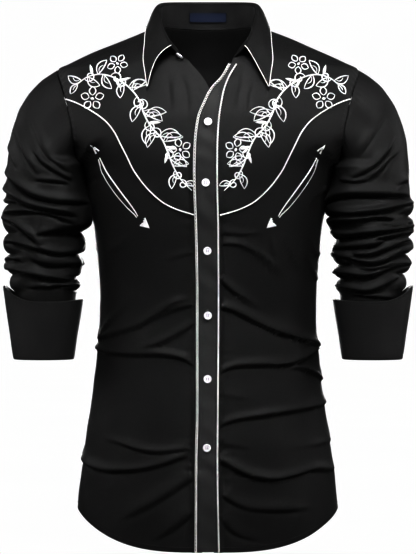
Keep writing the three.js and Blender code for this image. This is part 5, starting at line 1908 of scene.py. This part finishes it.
def thread_bars():
    """Two bars of three strands each, up through one hole and down through the next."""
    shape = bmesh.new()
    for side in (-1, 1):
        for strand in (-1, 0, 1):
            x = side * HOLE["out"] + strand * BAR["spread"]
            out = HOLE["out"]
            rise = [(-out, BAR["low"]), (-out + 0.15, BAR["edge"]), (-0.6, BAR["top"])]
            path = [(x, y, z) for y, z in rise] + [(x, -y, z) for y, z in reversed(rise)]
            rings = []
            for px, py, pz in path:
                ring = []
                for i in range(6):
                    turn = math.pi * i / 3
                    lean = 1 if abs(py) < out - 0.3 else 0
                    ring.append(shape.verts.new((
                        px + BAR["radius"] * math.cos(turn),
                        py + BAR["radius"] * math.sin(turn) * (1 - lean),
                        pz + BAR["radius"] * math.sin(turn) * lean,
                    )))
                rings.append(ring)
            for low, high in zip(rings, rings[1:]):
                for i in range(6):
                    j = (i + 1) % 6
                    shape.faces.new([low[i], low[j], high[j], high[i]])
            shape.faces.new(rings[0][::-1])
            shape.faces.new(rings[-1])
    bmesh.ops.recalc_face_normals(shape, faces=shape.faces)
    return mesh_of("button_thread", shape)


PEARLY = pearly_polyester()
MAUVE_THREAD = mauve_thread()
BUTTON_BLANK = button_blank()
THREAD_BARS = thread_bars()


def button(node, place, facing, scale=DISC_SCALE):
    """A button with its back at place, its face turned along facing and its bars upright."""
    facing = mathutils.Vector(facing)
    across = mathutils.Vector((0, 0, 1)).cross(facing).normalized()
    upward = facing.cross(across)
    turn = mathutils.Matrix((across, upward, facing)).transposed().to_4x4()
    seat = mathutils.Matrix.Translation(mathutils.Vector(place) * MM) @ turn
    seat = seat @ mathutils.Matrix.Scale(MM * scale, 4)
    for part, blank, material in (("disc", BUTTON_BLANK, PEARLY), ("thread", THREAD_BARS, MAUVE_THREAD)):
        mesh = blank.copy()
        mesh.transform(seat)
        mesh.materials.clear()
        mesh.materials.append(material)
        mesh.shade_smooth()
        mesh.set_sharp_from_angle(angle=math.radians(40))
        fix(new_object(f"{node}_{part}", mesh), "pearl_button", *([node] if part == "disc" else []))


for number, z in enumerate(BUTTON_HEIGHTS, 1):
    angle = front_angle(placket_x(z, 0.5), z)
    button(f"button_{number}", body_cloth(angle, z, PLACKET_LIFT), body_normal(angle, z))

stand_base, stand_top = collar_lines(COLLAR_COLUMNS["stand"])[:2]
stand_rise = stand_top[0] - stand_base[0]
stand_out = np.cross(stand_rise, stand_base[2] - stand_base[0])
stand_out = unit(stand_out * np.sign(stand_out @ [-1, 0, -1]) * [1, 0.15, 1])
button(
    "collar_button", stand_base[0] + stand_rise * COLLAR_BUTTON["up"] + stand_out * STAND_IN, stand_out,
    COLLAR_BUTTON["radius"] / BUTTON_RADIUS,
)

# Buttonholes: two close bars of black thread upright under each button, with a slit between them.
BUTTONHOLE = {"length": 17, "apart": 1.9, "width": 1.5}
holes = []
for z in BUTTON_HEIGHTS:
    for way in (-1, 1):
        ends = [z - BUTTONHOLE["length"] / 2, z, z + BUTTONHOLE["length"] / 2]
        holes.append(tapered(
            [(placket_x(end, 0.5) + way * BUTTONHOLE["apart"] / 2, end) for end in ends],
            BUTTONHOLE["width"], 0.8,
        ))
piece = satin_bands(
    "buttonhole_thread", holes, "left", CROWN["buttonhole"], BLACK_THREAD, PLACKET_LIFT,
)
fix(piece, "black_satin")

# ---- Studio -------------------------------------------------------------------------------------
# A pale floor and a pale surround, lit by large soft lamps from the front and above. The floor and
# the surround are seen but throw no light of their own on the cloth.
AXIS_HEIGHT = -0.352
DISTANCE = 3.2
FRAME_HEIGHT = 0.7867
FLOOR_GAP = 0.02


def pale_stage():
    material, tree = new_material("pale_studio_paper")
    grain = noise(tree, object_place(tree), 3.0)
    glow = add_node(tree, "ShaderNodeEmission", {"Color": mixed(tree, grain, "#fefefe", "#ffffff")})
    add_node(tree, "ShaderNodeOutputMaterial", {0: glow.outputs[0]})
    floor = cad_box[0].z - FLOOR_GAP
    shapes = {
        "floor": (bmesh.ops.create_grid, {"x_segments": 1, "y_segments": 1, "size": 14}, floor),
        "surround": (bmesh.ops.create_icosphere, {"subdivisions": 4, "radius": 15}, 0),
    }
    for name, (make, sizes, height) in shapes.items():
        shape = bmesh.new()
        make(shape, **sizes)
        bmesh.ops.translate(shape, verts=shape.verts, vec=(0, 0, height))
        sheet = new_object(name, mesh_of(name, shape))
        sheet.data.materials.append(material)
        sheet.visible_diffuse = False
        sheet.visible_glossy = False
        sheet.visible_shadow = False


pale_stage()


def lamp(name, place, target, size, watts, spread=180):
    light = bpy.data.lights.new(name, "AREA")
    light.shape = "RECTANGLE"
    light.size, light.size_y = size
    light.energy = watts
    light.spread = math.radians(spread)
    holder = new_object(name, light)
    holder.location = place
    way = (np.array(target) - np.array(place)).tolist()
    holder.rotation_euler = mathutils.Vector(way).to_track_quat("-Z", "Y").to_euler()
    holder.visible_camera = False


# Soft boxes above, in front and behind, then strips at each side, then boxes with a narrow grid.
lamp("key", (0, -1.7, 2.1), (0, 0, -0.2), (1.2, 0.9), 95)
lamp("front", (0, -2.8, 0), (0, 0, -0.35), (1.0, 1.0), 8)
lamp("back", (0, 2.4, 0), (0, 0, -0.4), (1.8, 0.7), 150)
lamp("torso", (0, -2.6, 0.5), (0, 0, -0.45), (0.15, 0.5), 0.1, spread=4)
lamp("chest", (0, -2.2, 1.0), (0, 0, -0.08), (0.3, 0.3), 0.07, spread=8)
for side, way in MIRROR.items():
    top, shoulder, arm = {"left": (18, 0.12, 0.48), "right": (9, 0.085, 0.42)}[side]
    lamp(f"top_{side}", (1.3 * way, -1.2, 2.0), (0, 0, -0.3), (0.9, 0.9), top)
    lamp(f"fill_{side}", (2.2 * way, -1.3, 0.3), (0, 0, -0.3), (0.7, 1.4), 7)
    lamp(f"rim_{side}", (2.4 * way, 0.6, 0.6), (0, 0, -0.3), (0.7, 1.4), 26)
    lamp(f"shoulder_{side}", (1.6 * way, -1.6, 1.2), (0.24 * way, 0, -0.15), (0.3, 0.3), shoulder, spread=8)
    lamp(f"arm_{side}", (2.4 * way, -1.45, 0.1), (0.25 * way, 0, -0.35), (0.6, 0.8), arm, spread=7)
# Two small reflectors below the neck light the inside of the back.
lamp("low_reflector", (0, -0.02, -0.12), (0, 0.09, -0.01), (0.06, 0.04), 0.05)
lamp("high_reflector", (0, -0.05, -0.06), (0, 0.08, 0), (0.08, 0.03), 0.12)

world = bpy.data.worlds.new("studio_air")
world.use_nodes = True
world.node_tree.nodes["Background"].inputs["Color"].default_value = linear("#ffffff")
world.node_tree.nodes["Background"].inputs["Strength"].default_value = 0.05
bpy.context.scene.world = world
bpy.context.scene.view_settings.view_transform = "Standard"
bpy.context.scene.view_settings.gamma = 0.62

camera = bpy.data.cameras.new("camera")
camera.sensor_width = 36
camera.lens = camera.sensor_width * DISTANCE / FRAME_HEIGHT
camera.clip_end = 100
viewer = new_object("camera", camera)
viewer.location = (0, -DISTANCE, AXIS_HEIGHT)
viewer.rotation_euler = (math.radians(90), 0, 0)
bpy.context.scene.camera = viewer
